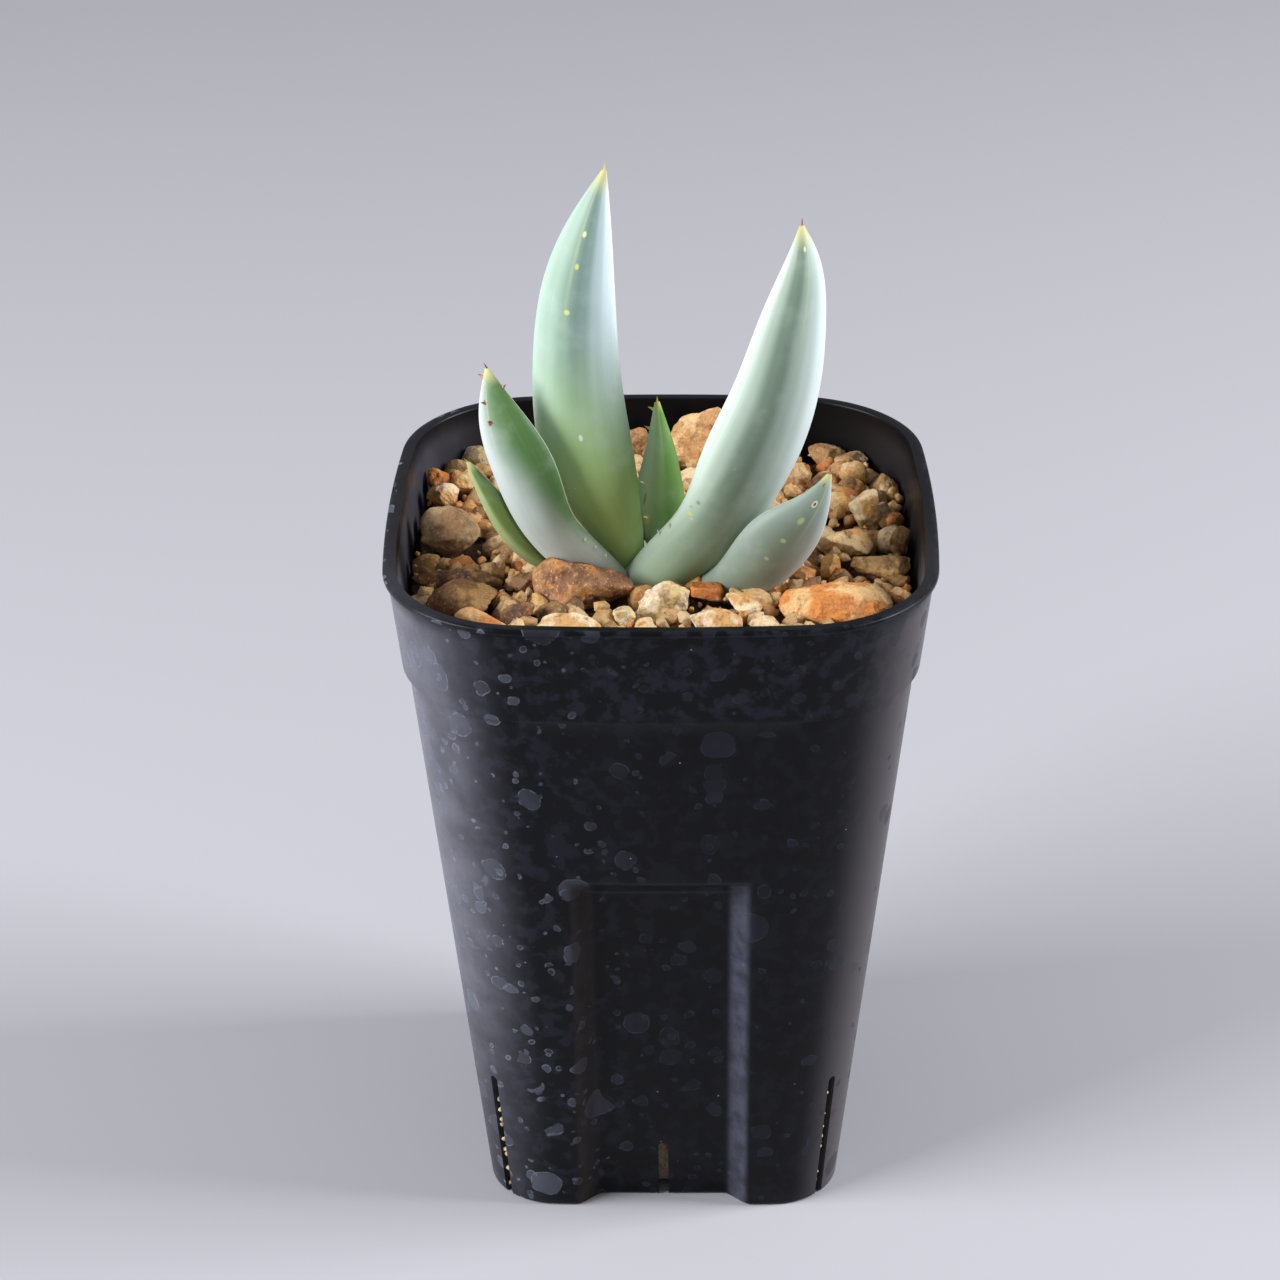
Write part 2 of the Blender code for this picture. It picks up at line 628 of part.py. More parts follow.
def stone_points(rng, directions, sizes, turn):
    """Points of a worn, faceted stone: a block cut by random planes with its corners eased."""
    normals = rng.normal(size=(STONE_CUTS, 3))
    normals /= np.linalg.norm(normals, axis=1)[:, None]
    distances = rng.uniform(*STONE_CUT_DISTANCES, STONE_CUTS)
    reach = np.maximum(directions @ normals.T, 0.0) / distances
    radius = (np.sum(reach**STONE_WEAR, axis=1) + STONE_LEAST_CUT) ** (-1 / STONE_WEAR)
    points = directions * np.minimum(radius, STONE_REACH)[:, None]
    points /= np.abs(points).max(axis=0)
    points *= sizes
    cos, sin = math.cos(math.radians(turn)), math.sin(math.radians(turn))
    return points @ np.array([[cos, sin, 0], [-sin, cos, 0], [0, 0, 1]])


def ball(subdivisions):
    """Directions and faces of an icosphere."""
    work = bmesh.new()
    bmesh.ops.create_icosphere(work, subdivisions=subdivisions, radius=1.0)
    directions = np.array([vert.co[:] for vert in work.verts])
    faces = [[vert.index for vert in face.verts] for face in work.faces]
    work.free()
    return directions, faces


def placed_stones():
    """Points of each stone of the table, moved clear of the pot's wall and of one another."""
    directions, faces = ball(2)
    rng = np.random.default_rng(STONE_SEED)
    stones = {}
    for name, (x, y, z, a, b, c, turn, _) in STONES.items():
        middle = keep_inside([(x, y, z)], WALL + GAP + 0.8 * min(a, b))[0]
        points = stone_points(rng, directions, (a, b, c), turn) + middle
        stones[name] = keep_inside(points, WALL + 2 * GAP)
    names = list(stones)
    for first in range(len(names)):
        for second in range(first + 1, len(names)):
            one, other = stones[names[first]], stones[names[second]]
            line = other.mean(axis=0) - one.mean(axis=0)
            line /= np.linalg.norm(line)
            front = (one @ line).max()
            back = (other @ line).min()
            if front + GAP > back:
                middle = (front + back) / 2
                high = np.maximum(one @ line - (middle - GAP / 2), 0.0)
                stones[names[first]] = one - high[:, None] * line
                low = np.maximum(middle + GAP / 2 - other @ line, 0.0)
                stones[names[second]] = other + low[:, None] * line
    return stones, faces


def grown(points, grow):
    """The same convex stone with every point moved outward from its middle by `grow`."""
    middle = points.mean(axis=0)
    away = points - middle
    return middle + away * (1 + grow / np.linalg.norm(away, axis=1))[:, None]


def grain_places():
    """Centres and half sizes of the small stones on the bed: a jittered triangular grid."""
    rng = np.random.default_rng(BED_SEED)
    places = []
    aside, up = GRAIN_JITTER
    rows = int(LIP_HALF / (GRAIN_SPACING * ROW_STEP)) + 1
    columns = int(LIP_HALF / GRAIN_SPACING) + 1
    for row in range(-rows, rows + 1):
        for column in range(-columns, columns + 1):
            x = (column + (row % 2) / 2) * GRAIN_SPACING + rng.uniform(-aside, aside)
            y = row * GRAIN_SPACING * ROW_STEP + rng.uniform(-aside, aside)
            sizes = rng.uniform(*GRAIN_HALF, 3) * (1.0, 1.0, GRAIN_FLATTEN)
            z = BED_TOP + GRAIN_RISE + rng.uniform(-up, up)
            turn = rng.uniform(0, 180)
            held = keep_inside([(x, y, z)], WALL + GAP + sizes[0] * 0.8)[0]
            if np.hypot(held[0] - x, held[1] - y) > GRAIN_MOVE:
                continue
            x, y = held[:2]
            if np.hypot(x - GRAIN_CLEAR[0], y - GRAIN_CLEAR[1]) < GRAIN_CLEAR[2]:
                continue
            under = False
            for sx, sy, _, a, b, _, angle, _ in STONES.values():
                cos, sin = math.cos(math.radians(angle)), math.sin(math.radians(angle))
                u = ((x - sx) * cos + (y - sy) * sin) / (a + GRAIN_MARGIN)
                v = ((y - sy) * cos - (x - sx) * sin) / (b + GRAIN_MARGIN)
                under = under or u * u + v * v < 1
            if not under:
                places.append((x, y, z, sizes, turn))
    return places


def make_bed(collection, material):
    """The body of grit that fills the pot, with the small stones of its top joined on in one step."""
    rings = inside_rings(WALL + GAP, FLOOR + GAP, BED_TOP)
    points, faces = loft(rings)
    bed = add_mesh("grit_bed", points, faces, collection, material)
    directions, ball_faces = ball(1)
    rng = np.random.default_rng(BED_SEED + 1)
    grains = new_collection("grains")
    for number, (x, y, z, sizes, turn) in enumerate(grain_places()):
        points = stone_points(rng, directions, sizes, turn) + (x, y, z)
        add_mesh(f"grain_{number}", keep_inside(points, WALL + GAP), ball_faces, grains)
    modifier = bed.modifiers.new("union", "BOOLEAN")
    modifier.operation = "UNION"
    modifier.operand_type = "COLLECTION"
    modifier.collection = grains
    modifier.solver = "MANIFOLD"
    bpy.context.view_layer.update()
    graph = bpy.context.evaluated_depsgraph_get()
    joined = bpy.data.meshes.new_from_object(bed.evaluated_get(graph))
    bed.modifiers.clear()
    bed.data = joined
    for grain in list(grains.objects):
        bpy.data.objects.remove(grain)
    bpy.data.collections.remove(grains)
    return bed


def round_rings(levels, count, centre):
    x, y = centre
    angles = np.linspace(0, 2 * math.pi, count, endpoint=False)
    return [[(x + radius * math.cos(t), y + radius * math.sin(t), z) for t in angles] for z, radius in levels]


def make_stem(collection, cutters, material, grow=0.0):
    """A short stem that tapers down to a tap root, with four thin roots beside it."""
    levels = [(z, radius + grow) for z, radius in STEM_RINGS]
    levels[0] = (levels[0][0] - grow, levels[0][1])
    levels[-1] = (levels[-1][0] + grow, levels[-1][1])
    points, faces = loft(round_rings(levels, STEM_SIDES, AXIS))
    stem = add_mesh("stem", points, faces, collection, material)
    lean = math.radians(ROOT_LEAN)
    for turn in np.radians(ROOT_ANGLES):
        out = np.array([math.cos(turn), math.sin(turn), 0.0])
        down = math.sin(lean) * out - np.array([0.0, 0.0, math.cos(lean)])
        start = np.array([AXIS[0], AXIS[1], ROOT_START]) + ROOT_SPREAD * out
        rings = []
        for share, size in ROOT_RINGS:
            middle = start + down * ROOT_LENGTH * share
            angles = np.linspace(0, 2 * math.pi, ROOT_SIDES, endpoint=False)
            radius = ROOT_RADIUS * size + grow
            rings.append([middle + radius * np.array([math.cos(t), math.sin(t), 0.0]) for t in angles])
        points, faces = loft(rings)
        boolean(stem, add_mesh("root", points, faces, cutters), "UNION", "MANIFOLD")
    return stem


def shade(obj, angle):
    """Smooth shading, except over edges sharper than `angle` degrees."""
    obj.data.shade_smooth()
    obj.data.set_sharp_from_angle(angle=math.radians(angle))


def overlap(one, other):
    """Whether the boxes round two meshes meet."""
    first = np.array([vert.co[:] for vert in one.data.vertices])
    second = np.array([vert.co[:] for vert in other.data.vertices])
    return bool(np.all(first.max(0) > second.min(0)) and np.all(second.max(0) > first.min(0)))


def main():
    clear_scene()
    collection = new_collection("potted_aloe")
    cutters = new_collection("cutters")
    cutters.hide_render = True
    materials = make_materials()
    pot = make_pot(collection, cutters, materials["pot_plastic"])
    bed = make_bed(collection, materials["grit"])

    stem = make_stem(collection, cutters, materials["stem_tissue"])
    hole = round_rings(((HOLE_BOTTOM, HOLE_RADIUS[0]), (HOLE_TOP, HOLE_RADIUS[1])), HOLE_SIDES, AXIS)
    points, faces = loft(hole)
    boolean(bed, add_mesh("hole", points, faces, cutters), "DIFFERENCE", "MANIFOLD")

    inner = []
    leaves = []
    for name, leaf in LEAVES.items():
        material = materials["leaf_green" if name in GREEN_LEAVES else "leaf_blue"]
        obj = make_leaf(name, leaf, collection, material)
        boolean(obj, make_stem(cutters, cutters, None, GAP), "DIFFERENCE", "MANIFOLD")
        for previous in inner:
            boolean(obj, make_leaf("clear", LEAVES[previous], cutters, None, GAP), "DIFFERENCE", "MANIFOLD")
        keep_largest(obj)
        inner.append(name)
        leaves.append(obj)
        boolean(bed, make_leaf("clear", leaf, cutters, None, GAP), "DIFFERENCE", "MANIFOLD")

    stones, ball_faces = placed_stones()
    for name, points in stones.items():
        socket = add_mesh("clear", grown(points, STONE_ROOM), ball_faces, cutters)
        boolean(bed, socket, "DIFFERENCE", "MANIFOLD")
        stone = add_mesh("stone_" + name, points, ball_faces, collection, materials[STONES[name][7]])
        for leaf_name in LEAVES:
            clear = make_leaf("clear", LEAVES[leaf_name], cutters, None, GAP)
            if overlap(stone, clear):
                boolean(stone, clear, "DIFFERENCE", "MANIFOLD")
            else:
                bpy.data.objects.remove(clear)
        keep_largest(stone)
    keep_largest(bed)

    shade(pot, POT_CREASE)
    for obj in (stem, *leaves):
        shade(obj, PLANT_CREASE)


main()
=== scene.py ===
# %% [markdown]
# # A young aloe in a square nursery pot
#
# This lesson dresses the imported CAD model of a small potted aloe. The CAD model says where everything
# is. Each cell below swaps one kind of piece, the pot, the leaves, the stones or the grit, for a finer
# surface of the same form, and then gives it a finish made of shader nodes.
#
# Lengths are worked out in millimetres, as a maker would measure them, and MM turns them into metres.

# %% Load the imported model
import math

import bpy
import numpy as np
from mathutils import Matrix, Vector


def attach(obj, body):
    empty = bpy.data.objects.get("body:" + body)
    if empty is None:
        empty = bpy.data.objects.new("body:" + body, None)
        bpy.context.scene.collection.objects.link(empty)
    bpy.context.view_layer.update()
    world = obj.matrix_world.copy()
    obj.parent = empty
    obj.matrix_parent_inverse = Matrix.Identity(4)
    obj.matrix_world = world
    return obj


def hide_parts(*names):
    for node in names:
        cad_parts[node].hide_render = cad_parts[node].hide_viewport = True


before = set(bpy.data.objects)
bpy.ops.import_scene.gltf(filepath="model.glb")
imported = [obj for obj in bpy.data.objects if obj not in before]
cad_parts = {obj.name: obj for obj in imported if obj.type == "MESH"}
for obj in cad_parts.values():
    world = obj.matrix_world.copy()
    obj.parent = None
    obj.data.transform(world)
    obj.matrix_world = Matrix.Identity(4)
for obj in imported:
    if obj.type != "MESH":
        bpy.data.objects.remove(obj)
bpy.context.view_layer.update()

MM = 0.001
print("nodes:", len(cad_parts))

# %% [markdown]
# ## The camera
#
# The photo was taken with a long lens from in front and above, about 28 degrees down. The place and the
# lens were found by fitting one camera to the edges of the pot's lip, collar, recess and base, so the
# rendered pot falls where the photographed one does.

# %% Camera
CAMERA_PLACE = (4.24, -431.87, 309.34)
CAMERA_TURN = (61.932, 0.436, 0.743)
LENS = 98.35

lens_data = bpy.data.cameras.new("camera")
lens_data.lens = LENS
lens_data.sensor_width = 36.0
lens_data.clip_start = 0.01
lens_data.clip_end = 20.0
camera = bpy.data.objects.new("camera", lens_data)
camera.location = Vector(CAMERA_PLACE) * MM
camera.rotation_euler = [math.radians(turn) for turn in CAMERA_TURN]
bpy.context.scene.collection.objects.link(camera)
bpy.context.scene.camera = camera
print("camera looks down by", round(90 - CAMERA_TURN[0], 1), "degrees")

# %% [markdown]
# ## Turning grids of points into meshes
#
# Every new piece is a grid of points: rows run along the piece and columns run round it. All points of
# a grid are worked out at once as numpy arrays. Neighbours are joined with four-sided faces. The two ends
# of a pot, a stone or a spine are closed with fans, and those of a leaf from side to side. One helper
# hands the arrays to Blender.


# %% Mesh helpers
def new_mesh(name, points, faces, material=None, smooth=True):
    """A mesh object from points in mm and an array or list of faces. The object stays at the origin."""
    mesh = bpy.data.meshes.new(name)
    points = np.asarray(points, float).reshape(-1, 3) * MM
    loops = np.concatenate([np.ravel(face) for face in faces]).astype(np.int32)
    sizes = np.concatenate([np.full(len(face), face.shape[1]) for face in faces]).astype(np.int32)
    starts = np.concatenate(([0], np.cumsum(sizes)[:-1])).astype(np.int32)
    mesh.vertices.add(len(points))
    mesh.vertices.foreach_set("co", points.astype(np.float32).ravel())
    mesh.loops.add(len(loops))
    mesh.loops.foreach_set("vertex_index", loops)
    mesh.polygons.add(len(sizes))
    mesh.polygons.foreach_set("loop_start", starts)
    mesh.polygons.foreach_set("loop_total", sizes)
    mesh.update(calc_edges=True)
    mesh.validate()
    if smooth:
        mesh.shade_smooth()
    obj = bpy.data.objects.new(name, mesh)
    bpy.context.scene.collection.objects.link(obj)
    if material is not None:
        mesh.materials.append(material)
    return obj


def skin_faces(rows, columns, start=0):
    """Faces of a grid that closes round its columns, as an array of four point numbers each."""
    i = np.arange(rows - 1)[:, None] * columns
    j = np.arange(columns)[None, :]
    k = (j + 1) % columns
    return (start + np.stack([i + j, i + k, i + columns + k, i + columns + j], axis=-1)).reshape(-1, 4)


def closed_skin(grid):
    """Points and faces of a grid of rings with a fan over its first and its last ring."""
    rows, columns = grid.shape[:2]
    points = np.concatenate([grid.reshape(-1, 3), grid[:1].mean(axis=1), grid[-1:].mean(axis=1)])
    j = np.arange(columns)
    k = (j + 1) % columns
    low, high = rows * columns, rows * columns + 1
    last = (rows - 1) * columns
    bottom = np.stack([k, j, np.full(columns, low)], axis=-1)
    top = np.stack([last + j, last + k, np.full(columns, high)], axis=-1)
    return points, [skin_faces(rows, columns), bottom, top]


def closed_leaf(grid):
    """Like closed_skin, but each end of the crescent is closed from side to side.

    Point i of its one half joins point -i of the other. A fan would not do, because the middle of the
    points can lie outside a crescent.
    """
    rows, columns = grid.shape[:2]
    half = columns // 2
    i = np.arange(1, half - 1)
    bands = np.stack([i, columns - i, columns - i - 1, i + 1], axis=-1)
    corners = np.array([[0, columns - 1, 1], [half - 1, half + 1, half]])
    last = (rows - 1) * columns
    ends = [bands, last + bands[:, ::-1], corners, last + corners[:, ::-1]]
    return grid.reshape(-1, 3), [skin_faces(rows, columns)] + ends


def paint(obj, layer_name, colours):
    """Stores a colour for each point of the mesh, which a finish reads by the layer's name."""
    with_alpha = np.column_stack([colours, np.ones(len(colours))])
    layer = obj.data.attributes.new(layer_name, "FLOAT_COLOR", "POINT")
    layer.data.foreach_set("color", with_alpha.astype(np.float32).ravel())


def smooth(x):
    """0 below 0, 1 above 1, and an even S between."""
    x = np.clip(x, 0.0, 1.0)
    return x * x * (3 - 2 * x)


def soft_ramp(x, ease=0.14):
    """A straight ramp from 0 at x = 0 to 1 at x = 1 whose two corners are rounded by `ease`."""
    rise = (x + np.sqrt(x * x + ease * ease)) / 2
    past = ((x - 1) + np.sqrt((x - 1) ** 2 + ease * ease)) / 2
    return np.clip(rise - past, 0.0, 1.0)


# %% [markdown]
# ## Writing finishes
#
# A finish is a small tree of shader nodes. This helper adds one node, sets its options and either links
# or fills its sockets, so a whole finish reads as a few lines. Patterns are measured on the object's own
# coordinates, turned into millimetres, so they stay where they are when the camera moves.


# %% Finish helpers
def add(tree, kind, sockets=(), **options):
    """One node. `sockets` maps a socket's name or number to a value or to another node's output."""
    node = tree.nodes.new("ShaderNode" + kind)
    for option, value in options.items():
        setattr(node, option, value)
    for key, value in dict(sockets).items():
        if isinstance(value, bpy.types.NodeSocket):
            tree.links.new(value, node.inputs[key])
        else:
            node.inputs[key].default_value = value
    return node


def finish(name, roughness, specular):
    """An empty finish: its material, tree, shader and place in mm."""
    material = bpy.data.materials.new(name)
    material.use_nodes = True
    tree = material.node_tree
    shader = tree.nodes["Principled BSDF"]
    shader.inputs["Roughness"].default_value = roughness
    shader.inputs["Specular IOR Level"].default_value = specular
    metres = add(tree, "TexCoord").outputs["Object"]
    place = add(tree, "VectorMath", {0: metres, 1: (1 / MM,) * 3}, operation="MULTIPLY")
    return material, tree, shader, place.outputs[0]


def blend(tree, share, below, above, mode="MIX"):
    """Mixes two colours: `below` at share 0 and `above` at share 1."""
    node = add(tree, "Mix", data_type="RGBA", blend_type=mode)
    for number, value in ((0, share), (6, below), (7, above)):
        if isinstance(value, bpy.types.NodeSocket):
            tree.links.new(value, node.inputs[number])
        elif number:
            node.inputs[number].default_value = (*value, 1.0)
        else:
            node.inputs[number].default_value = value
    return node.outputs[2]


def ramp(tree, share, stops):
    """A colour that runs smoothly through `stops`, which are (share, colour) in order of share."""
    node = add(tree, "ValToRGB", {0: share})
    node.color_ramp.interpolation = "EASE"
    elements = node.color_ramp.elements
    for place, colour in stops[2:]:
        elements.new(place)
    for element, (place, colour) in zip(elements, stops):
        element.position = place
        element.color = (*colour, 1.0)
    return node.outputs[0]


def maths(tree, operation, a, b=0.0):
    """One step of arithmetic on numbers or outputs."""
    return add(tree, "Math", {0: a, 1: b}, operation=operation).outputs[0]


def times(tree, first, *others):
    """The product of several values, which is how shares are joined: it is 1 where each of them is."""
    for other in others:
        first = maths(tree, "MULTIPLY", first, other)
    return first


def between(tree, value, low, high, to_low=0.0, to_high=1.0):
    """A value that runs smoothly from `to_low` to `to_high` while the input runs from low to high."""
    sockets = {"Value": value, "From Min": low, "From Max": high, "To Min": to_low, "To Max": to_high}
    return add(tree, "MapRange", sockets, interpolation_type="SMOOTHSTEP").outputs[0]


def speckle(tree, place, scale, detail=4.0, roughness=0.6):
    """Cloudy noise between 0 and 1. `scale` is in cycles per mm."""
    sockets = {"Vector": place, "Scale": scale, "Detail": detail, "Roughness": roughness}
    return add(tree, "TexNoise", sockets).outputs["Fac"]


def bump(tree, shader, height, distance, strength=1.0):
    """Raises the surface by `height` times `distance` mm in the shading."""
    sockets = {"Height": height, "Distance": distance * MM, "Strength": strength}
    tree.links.new(add(tree, "Bump", sockets).outputs[0], shader.inputs["Normal"])


# %% [markdown]
# ## The pot
#
# The pot is a rounded square that tapers to its base. Its sides bow outward a little, a deeper collar
# goes round its top, and the lip has a thin overhanging edge. A flat recess runs up the middle of each
# side. The CAD pot has all this with 48 points a ring. Here each ring has hundreds, and the corners of
# the recess are eased as moulded plastic is.


# %% Pot outline
POT_HEIGHT = 100.0
LIP_HALF, LIP_CORNER, LIP_HEIGHT = 37.5, 19.2, 0.8
COLLAR_TOP_HALF, COLLAR_BOTTOM_HALF, COLLAR_CORNER, COLLAR_BOTTOM = 36.9, 35.4, 18.6, 85.4
STEP_HEIGHT = 0.4
BODY_TOP_HALF, BODY_TOP_CORNER = 34.7, 18.4
BASE_HALF, BASE_CORNER, BASE_EDGE = 25.5, 9.4, 0.6
SIDE_ARC = 300.0
WALL, FLOOR, GAP = 1.2, 1.2, 0.3
RECESS_DEPTH, RECESS_TOP = 3.0, 58.5
RECESS_EDGE, RECESS_FLAT = (12.0, 12.4), (9.0, 9.5)
WALL_SHIFT = math.tan(math.radians(22.5))
HALF_SIDE = np.concatenate([
    np.linspace(0.0, 0.46, 8),
    np.linspace(0.5, 0.84, 17),
    np.linspace(0.88, 1.0, 4),
])
SIDE_SHARES = np.concatenate([-HALF_SIDE[:0:-1], HALF_SIDE])
CORNER_SHARES = np.linspace(0, 1, 24)[1:-1]


def recess_depth(y, z, inset):
    """How far the recess is pushed in at a distance y from the middle of a side and a height z."""
    share = np.minimum(z / RECESS_TOP, 1.0)
    edge = RECESS_EDGE[0] + (RECESS_EDGE[1] - RECESS_EDGE[0]) * share + inset * WALL_SHIFT
    flat = RECESS_FLAT[0] + (RECESS_FLAT[1] - RECESS_FLAT[0]) * share + inset * WALL_SHIFT
    across = soft_ramp((edge - np.abs(y)) / (edge - flat))
    up = soft_ramp((RECESS_TOP + inset * WALL_SHIFT - z) / RECESS_DEPTH)
    return RECESS_DEPTH * np.minimum(across, up)


def pot_ring(z, half, corner, inset=0.0, recess=True):
    """One level: four bowed sides of radius SIDE_ARC that meet four round corners in a smooth line.

    The middle of a side lies `half` from the axis. The corner's centre is (c, c), and c follows from the
    condition that both arcs have the same tangent where they meet.
    """
    k = half - SIDE_ARC
    reach = SIDE_ARC - corner
    c = (k + math.sqrt(2 * reach * reach - k * k)) / 2
    turn = math.atan2(c, c - k)
    y = SIDE_SHARES * SIDE_ARC * math.sin(turn)
    side = np.stack([k + np.sqrt(SIDE_ARC**2 - y * y), y], axis=-1)
    if recess:
        side[:, 0] -= recess_depth(y, z, inset)
    angle = turn + CORNER_SHARES * (math.pi / 2 - 2 * turn)
    bend = np.stack([c + corner * np.cos(angle), c + corner * np.sin(angle)], axis=-1)
    quarter = np.concatenate([side, bend])
    turns = [np.array([[cos, sin], [-sin, cos]]) for cos, sin in ((1, 0), (0, 1), (-1, 0), (0, -1))]
    ring = np.concatenate([quarter @ turned for turned in turns])
    return np.column_stack([ring, np.full(len(ring), z)])


def body_size(z):
    """Half width and corner radius of the tapered body at a height z."""
    share = z / COLLAR_BOTTOM
    corner = BASE_CORNER + (BODY_TOP_CORNER - BASE_CORNER) * share
    return BASE_HALF + (BODY_TOP_HALF - BASE_HALF) * share, corner


def collar_half(z):
    """Half width of the collar at a height z."""
    share = (z - COLLAR_BOTTOM) / (POT_HEIGHT - LIP_HEIGHT - COLLAR_BOTTOM)
    return COLLAR_BOTTOM_HALF + (COLLAR_TOP_HALF - COLLAR_BOTTOM_HALF) * share


def wall_ring(z, inset):
    """A ring of the skin that lies `inset` inside the pot's outer one, at any height below the lip."""
    half, corner = body_size(z)
    step = smooth((z - (COLLAR_BOTTOM - STEP_HEIGHT)) / STEP_HEIGHT)
    half = half + (collar_half(z) - half) * step
    corner = corner + (COLLAR_CORNER - corner) * step
    return pot_ring(z, half - inset, corner - inset, inset)


outer_heights = np.concatenate([
    np.linspace(BASE_EDGE, 54.0, 28),
    np.linspace(55.0, 59.5, 16),
    np.linspace(61.0, COLLAR_BOTTOM - STEP_HEIGHT, 12),
    np.linspace(COLLAR_BOTTOM - STEP_HEIGHT, COLLAR_BOTTOM, 6)[1:],
    np.linspace(86.0, POT_HEIGHT - LIP_HEIGHT, 9),
])
rings = []
for angle in np.radians((0, 30, 60)):
    inward = BASE_EDGE * (1 - math.sin(angle))
    z = BASE_EDGE * (1 - math.cos(angle))
    half, corner = body_size(z)
    rings.append(pot_ring(z, half - inward, corner - inward))
rings += [wall_ring(z, 0.0) for z in outer_heights]
lip_bottom = POT_HEIGHT - LIP_HEIGHT
LIP_OUTSIDE = (  # how far in and how high on the lip each ring lies, from its lower edge over its top
    (0.12, 0.02), (0.03, 0.12), (0.0, 0.3), (0.02, 0.5),
    (0.1, 0.66), (0.25, 0.76), (0.5, 0.8), (1.2, 0.8),
)
LIP_INSIDE = ((-0.12, 0.78), (-0.02, 0.68), (0.0, 0.5))
for inward, z in LIP_OUTSIDE:
    rings.append(pot_ring(lip_bottom + z, LIP_HALF - inward, LIP_CORNER - inward, recess=False))
rim_half = collar_half(lip_bottom) - WALL
for inward, z in LIP_INSIDE:
    corner = COLLAR_CORNER - WALL - inward
    rings.append(pot_ring(lip_bottom + z, rim_half - inward, corner, recess=False))
inner_heights = np.concatenate([
    np.linspace(99.0, COLLAR_BOTTOM, 8),
    np.linspace(COLLAR_BOTTOM, COLLAR_BOTTOM - STEP_HEIGHT, 4)[1:],
    np.linspace(83.0, 60.0, 6),
    np.linspace(59.5, 55.0, 10),
    np.linspace(53.0, FLOOR, 10),
])
rings += [wall_ring(z, WALL) for z in inner_heights]
pot_points, pot_faces = closed_skin(np.array(rings))
pot = new_mesh("nursery_pot", pot_points, pot_faces)
print("pot rings:", len(rings), "points a ring:", len(rings[0]))

# %% [markdown]
# ## Slits
#
# Narrow slits let roots and water out: one low in each recess and a taller one on each corner. Each is
# cut through the finished wall with a flat bar whose top is round.


# %% Cut the slits
SLIT_WIDTH, SLIT_HEIGHT, SLIT_INNER = 1.4, 9.9, 14.0
CORNER_SLIT_WIDTH, CORNER_SLIT_HEIGHT, CORNER_SLIT_INNER = 1.3, 21.8, 24.5


def slit_bar(width, height, inner, turn):
    """A flat bar on edge with a round top, which runs outward along `turn`."""
    half = width / 2
    arc = np.linspace(0, math.pi, 9)
    across = np.concatenate([[-half, half], half * np.cos(arc)])
    up = np.concatenate([[-1.0, -1.0], height - half + half * np.sin(arc)])
    rows = []
    for distance in (inner, inner + LIP_HALF):
        x = distance * math.cos(turn) - across * math.sin(turn)
        y = distance * math.sin(turn) + across * math.cos(turn)
        rows.append(np.stack([x, y, up], axis=-1))
    points, faces = closed_skin(np.array(rows))
    return new_mesh("slit_bar", points, faces)


def cut(target, other, operation="DIFFERENCE"):
    """Applies a Boolean of `other` on the target and drops `other`."""
    if target.data.materials and not other.data.materials:
        other.data.materials.append(target.data.materials[0])
    modifier = target.modifiers.new("cut", "BOOLEAN")
    modifier.operation = operation
    modifier.solver = "MANIFOLD"
    modifier.object = other
    bpy.context.view_layer.update()
    graph = bpy.context.evaluated_depsgraph_get()
    result = bpy.data.meshes.new_from_object(target.evaluated_get(graph))
    target.modifiers.clear()
    target.data = result
    bpy.data.objects.remove(other)


for side in range(4):
    turn = math.radians(90 * side)
    cut(pot, slit_bar(SLIT_WIDTH, SLIT_HEIGHT, SLIT_INNER, turn))
    cut(pot, slit_bar(CORNER_SLIT_WIDTH, CORNER_SLIT_HEIGHT, CORNER_SLIT_INNER, turn + math.pi / 4))
pot.data.shade_smooth()
pot.data.set_sharp_from_angle(angle=math.radians(40))
print("pot faces after the cuts:", len(pot.data.polygons))

# %% [markdown]
# ## Black plastic with lime spots
#
# The pot is satin black polypropylene. Hard water has dried on it and left a thin grey film toward its
# front corners, and bluish spots of lime with paler rings, mostly on the left and under the rim. Near the
# left and right edges that film is also painted sheen, where the windows' light runs down the sides, and
# the spots and rings are painted paler toward the left edge, where that light falls. There are a few
# specks of dust. A spot is a cell of a Voronoi pattern that is slightly bent by noise: inside a radius of
# its own it is hazy, and at that radius it has its ring. None is on the inside of the wall. Faint blotches
# cloud the collar and the left side. Two narrow strips of painted sheen lie on the flanks of the front
# recess, a bluish one that catches light and a dark brown one.


# %% Pot finish
WIDENING = 0.118  # how much the half width of the pot grows with each mm of height
SPOT_LAYERS = ((0.17, 2.3, 1.0), (0.3, 1.2, 1.0), (0.62, 0.5, 0.4))  # cells per mm, radius, share of cells
# Painted sheen: a bluish strip and a dark brown strip on the flanks of the front recess.
RECESS_SHEEN_STRIPS = (  # where each strip on the recess starts and is full along x, its tint and its strength
    (8.8, 10.2, (0.080, 0.083, 0.115), 0.8),
    (-12.6, -12.0, (0.020, 0.012, 0.007), 0.6),
)


def bent_place(tree, place):
    """The place, pushed about by noise, so that round cells come out slightly uneven."""
    wander = add(tree, "TexNoise", {"Vector": place, "Scale": 0.35, "Detail": 1.5}).outputs["Color"]
    offset = add(tree, "VectorMath", {0: wander, 1: (0.5, 0.5, 0.5)}, operation="SUBTRACT").outputs[0]
    offset = add(tree, "VectorMath", {0: offset, "Scale": 1.4}, operation="SCALE").outputs[0]
    return add(tree, "VectorMath", {0: place, 1: offset}, operation="ADD").outputs[0]


def facing_out(tree, place):
    """How far the surface faces away from the pot's axis: the normal times the level part of the place."""
    normal = add(tree, "TexCoord").outputs["Normal"]
    level = add(tree, "VectorMath", {0: place, 1: (1.0, 1.0, 0.0)}, operation="MULTIPLY").outputs[0]
    return add(tree, "VectorMath", {0: normal, 1: level}, operation="DOT_PRODUCT").outputs["Value"]


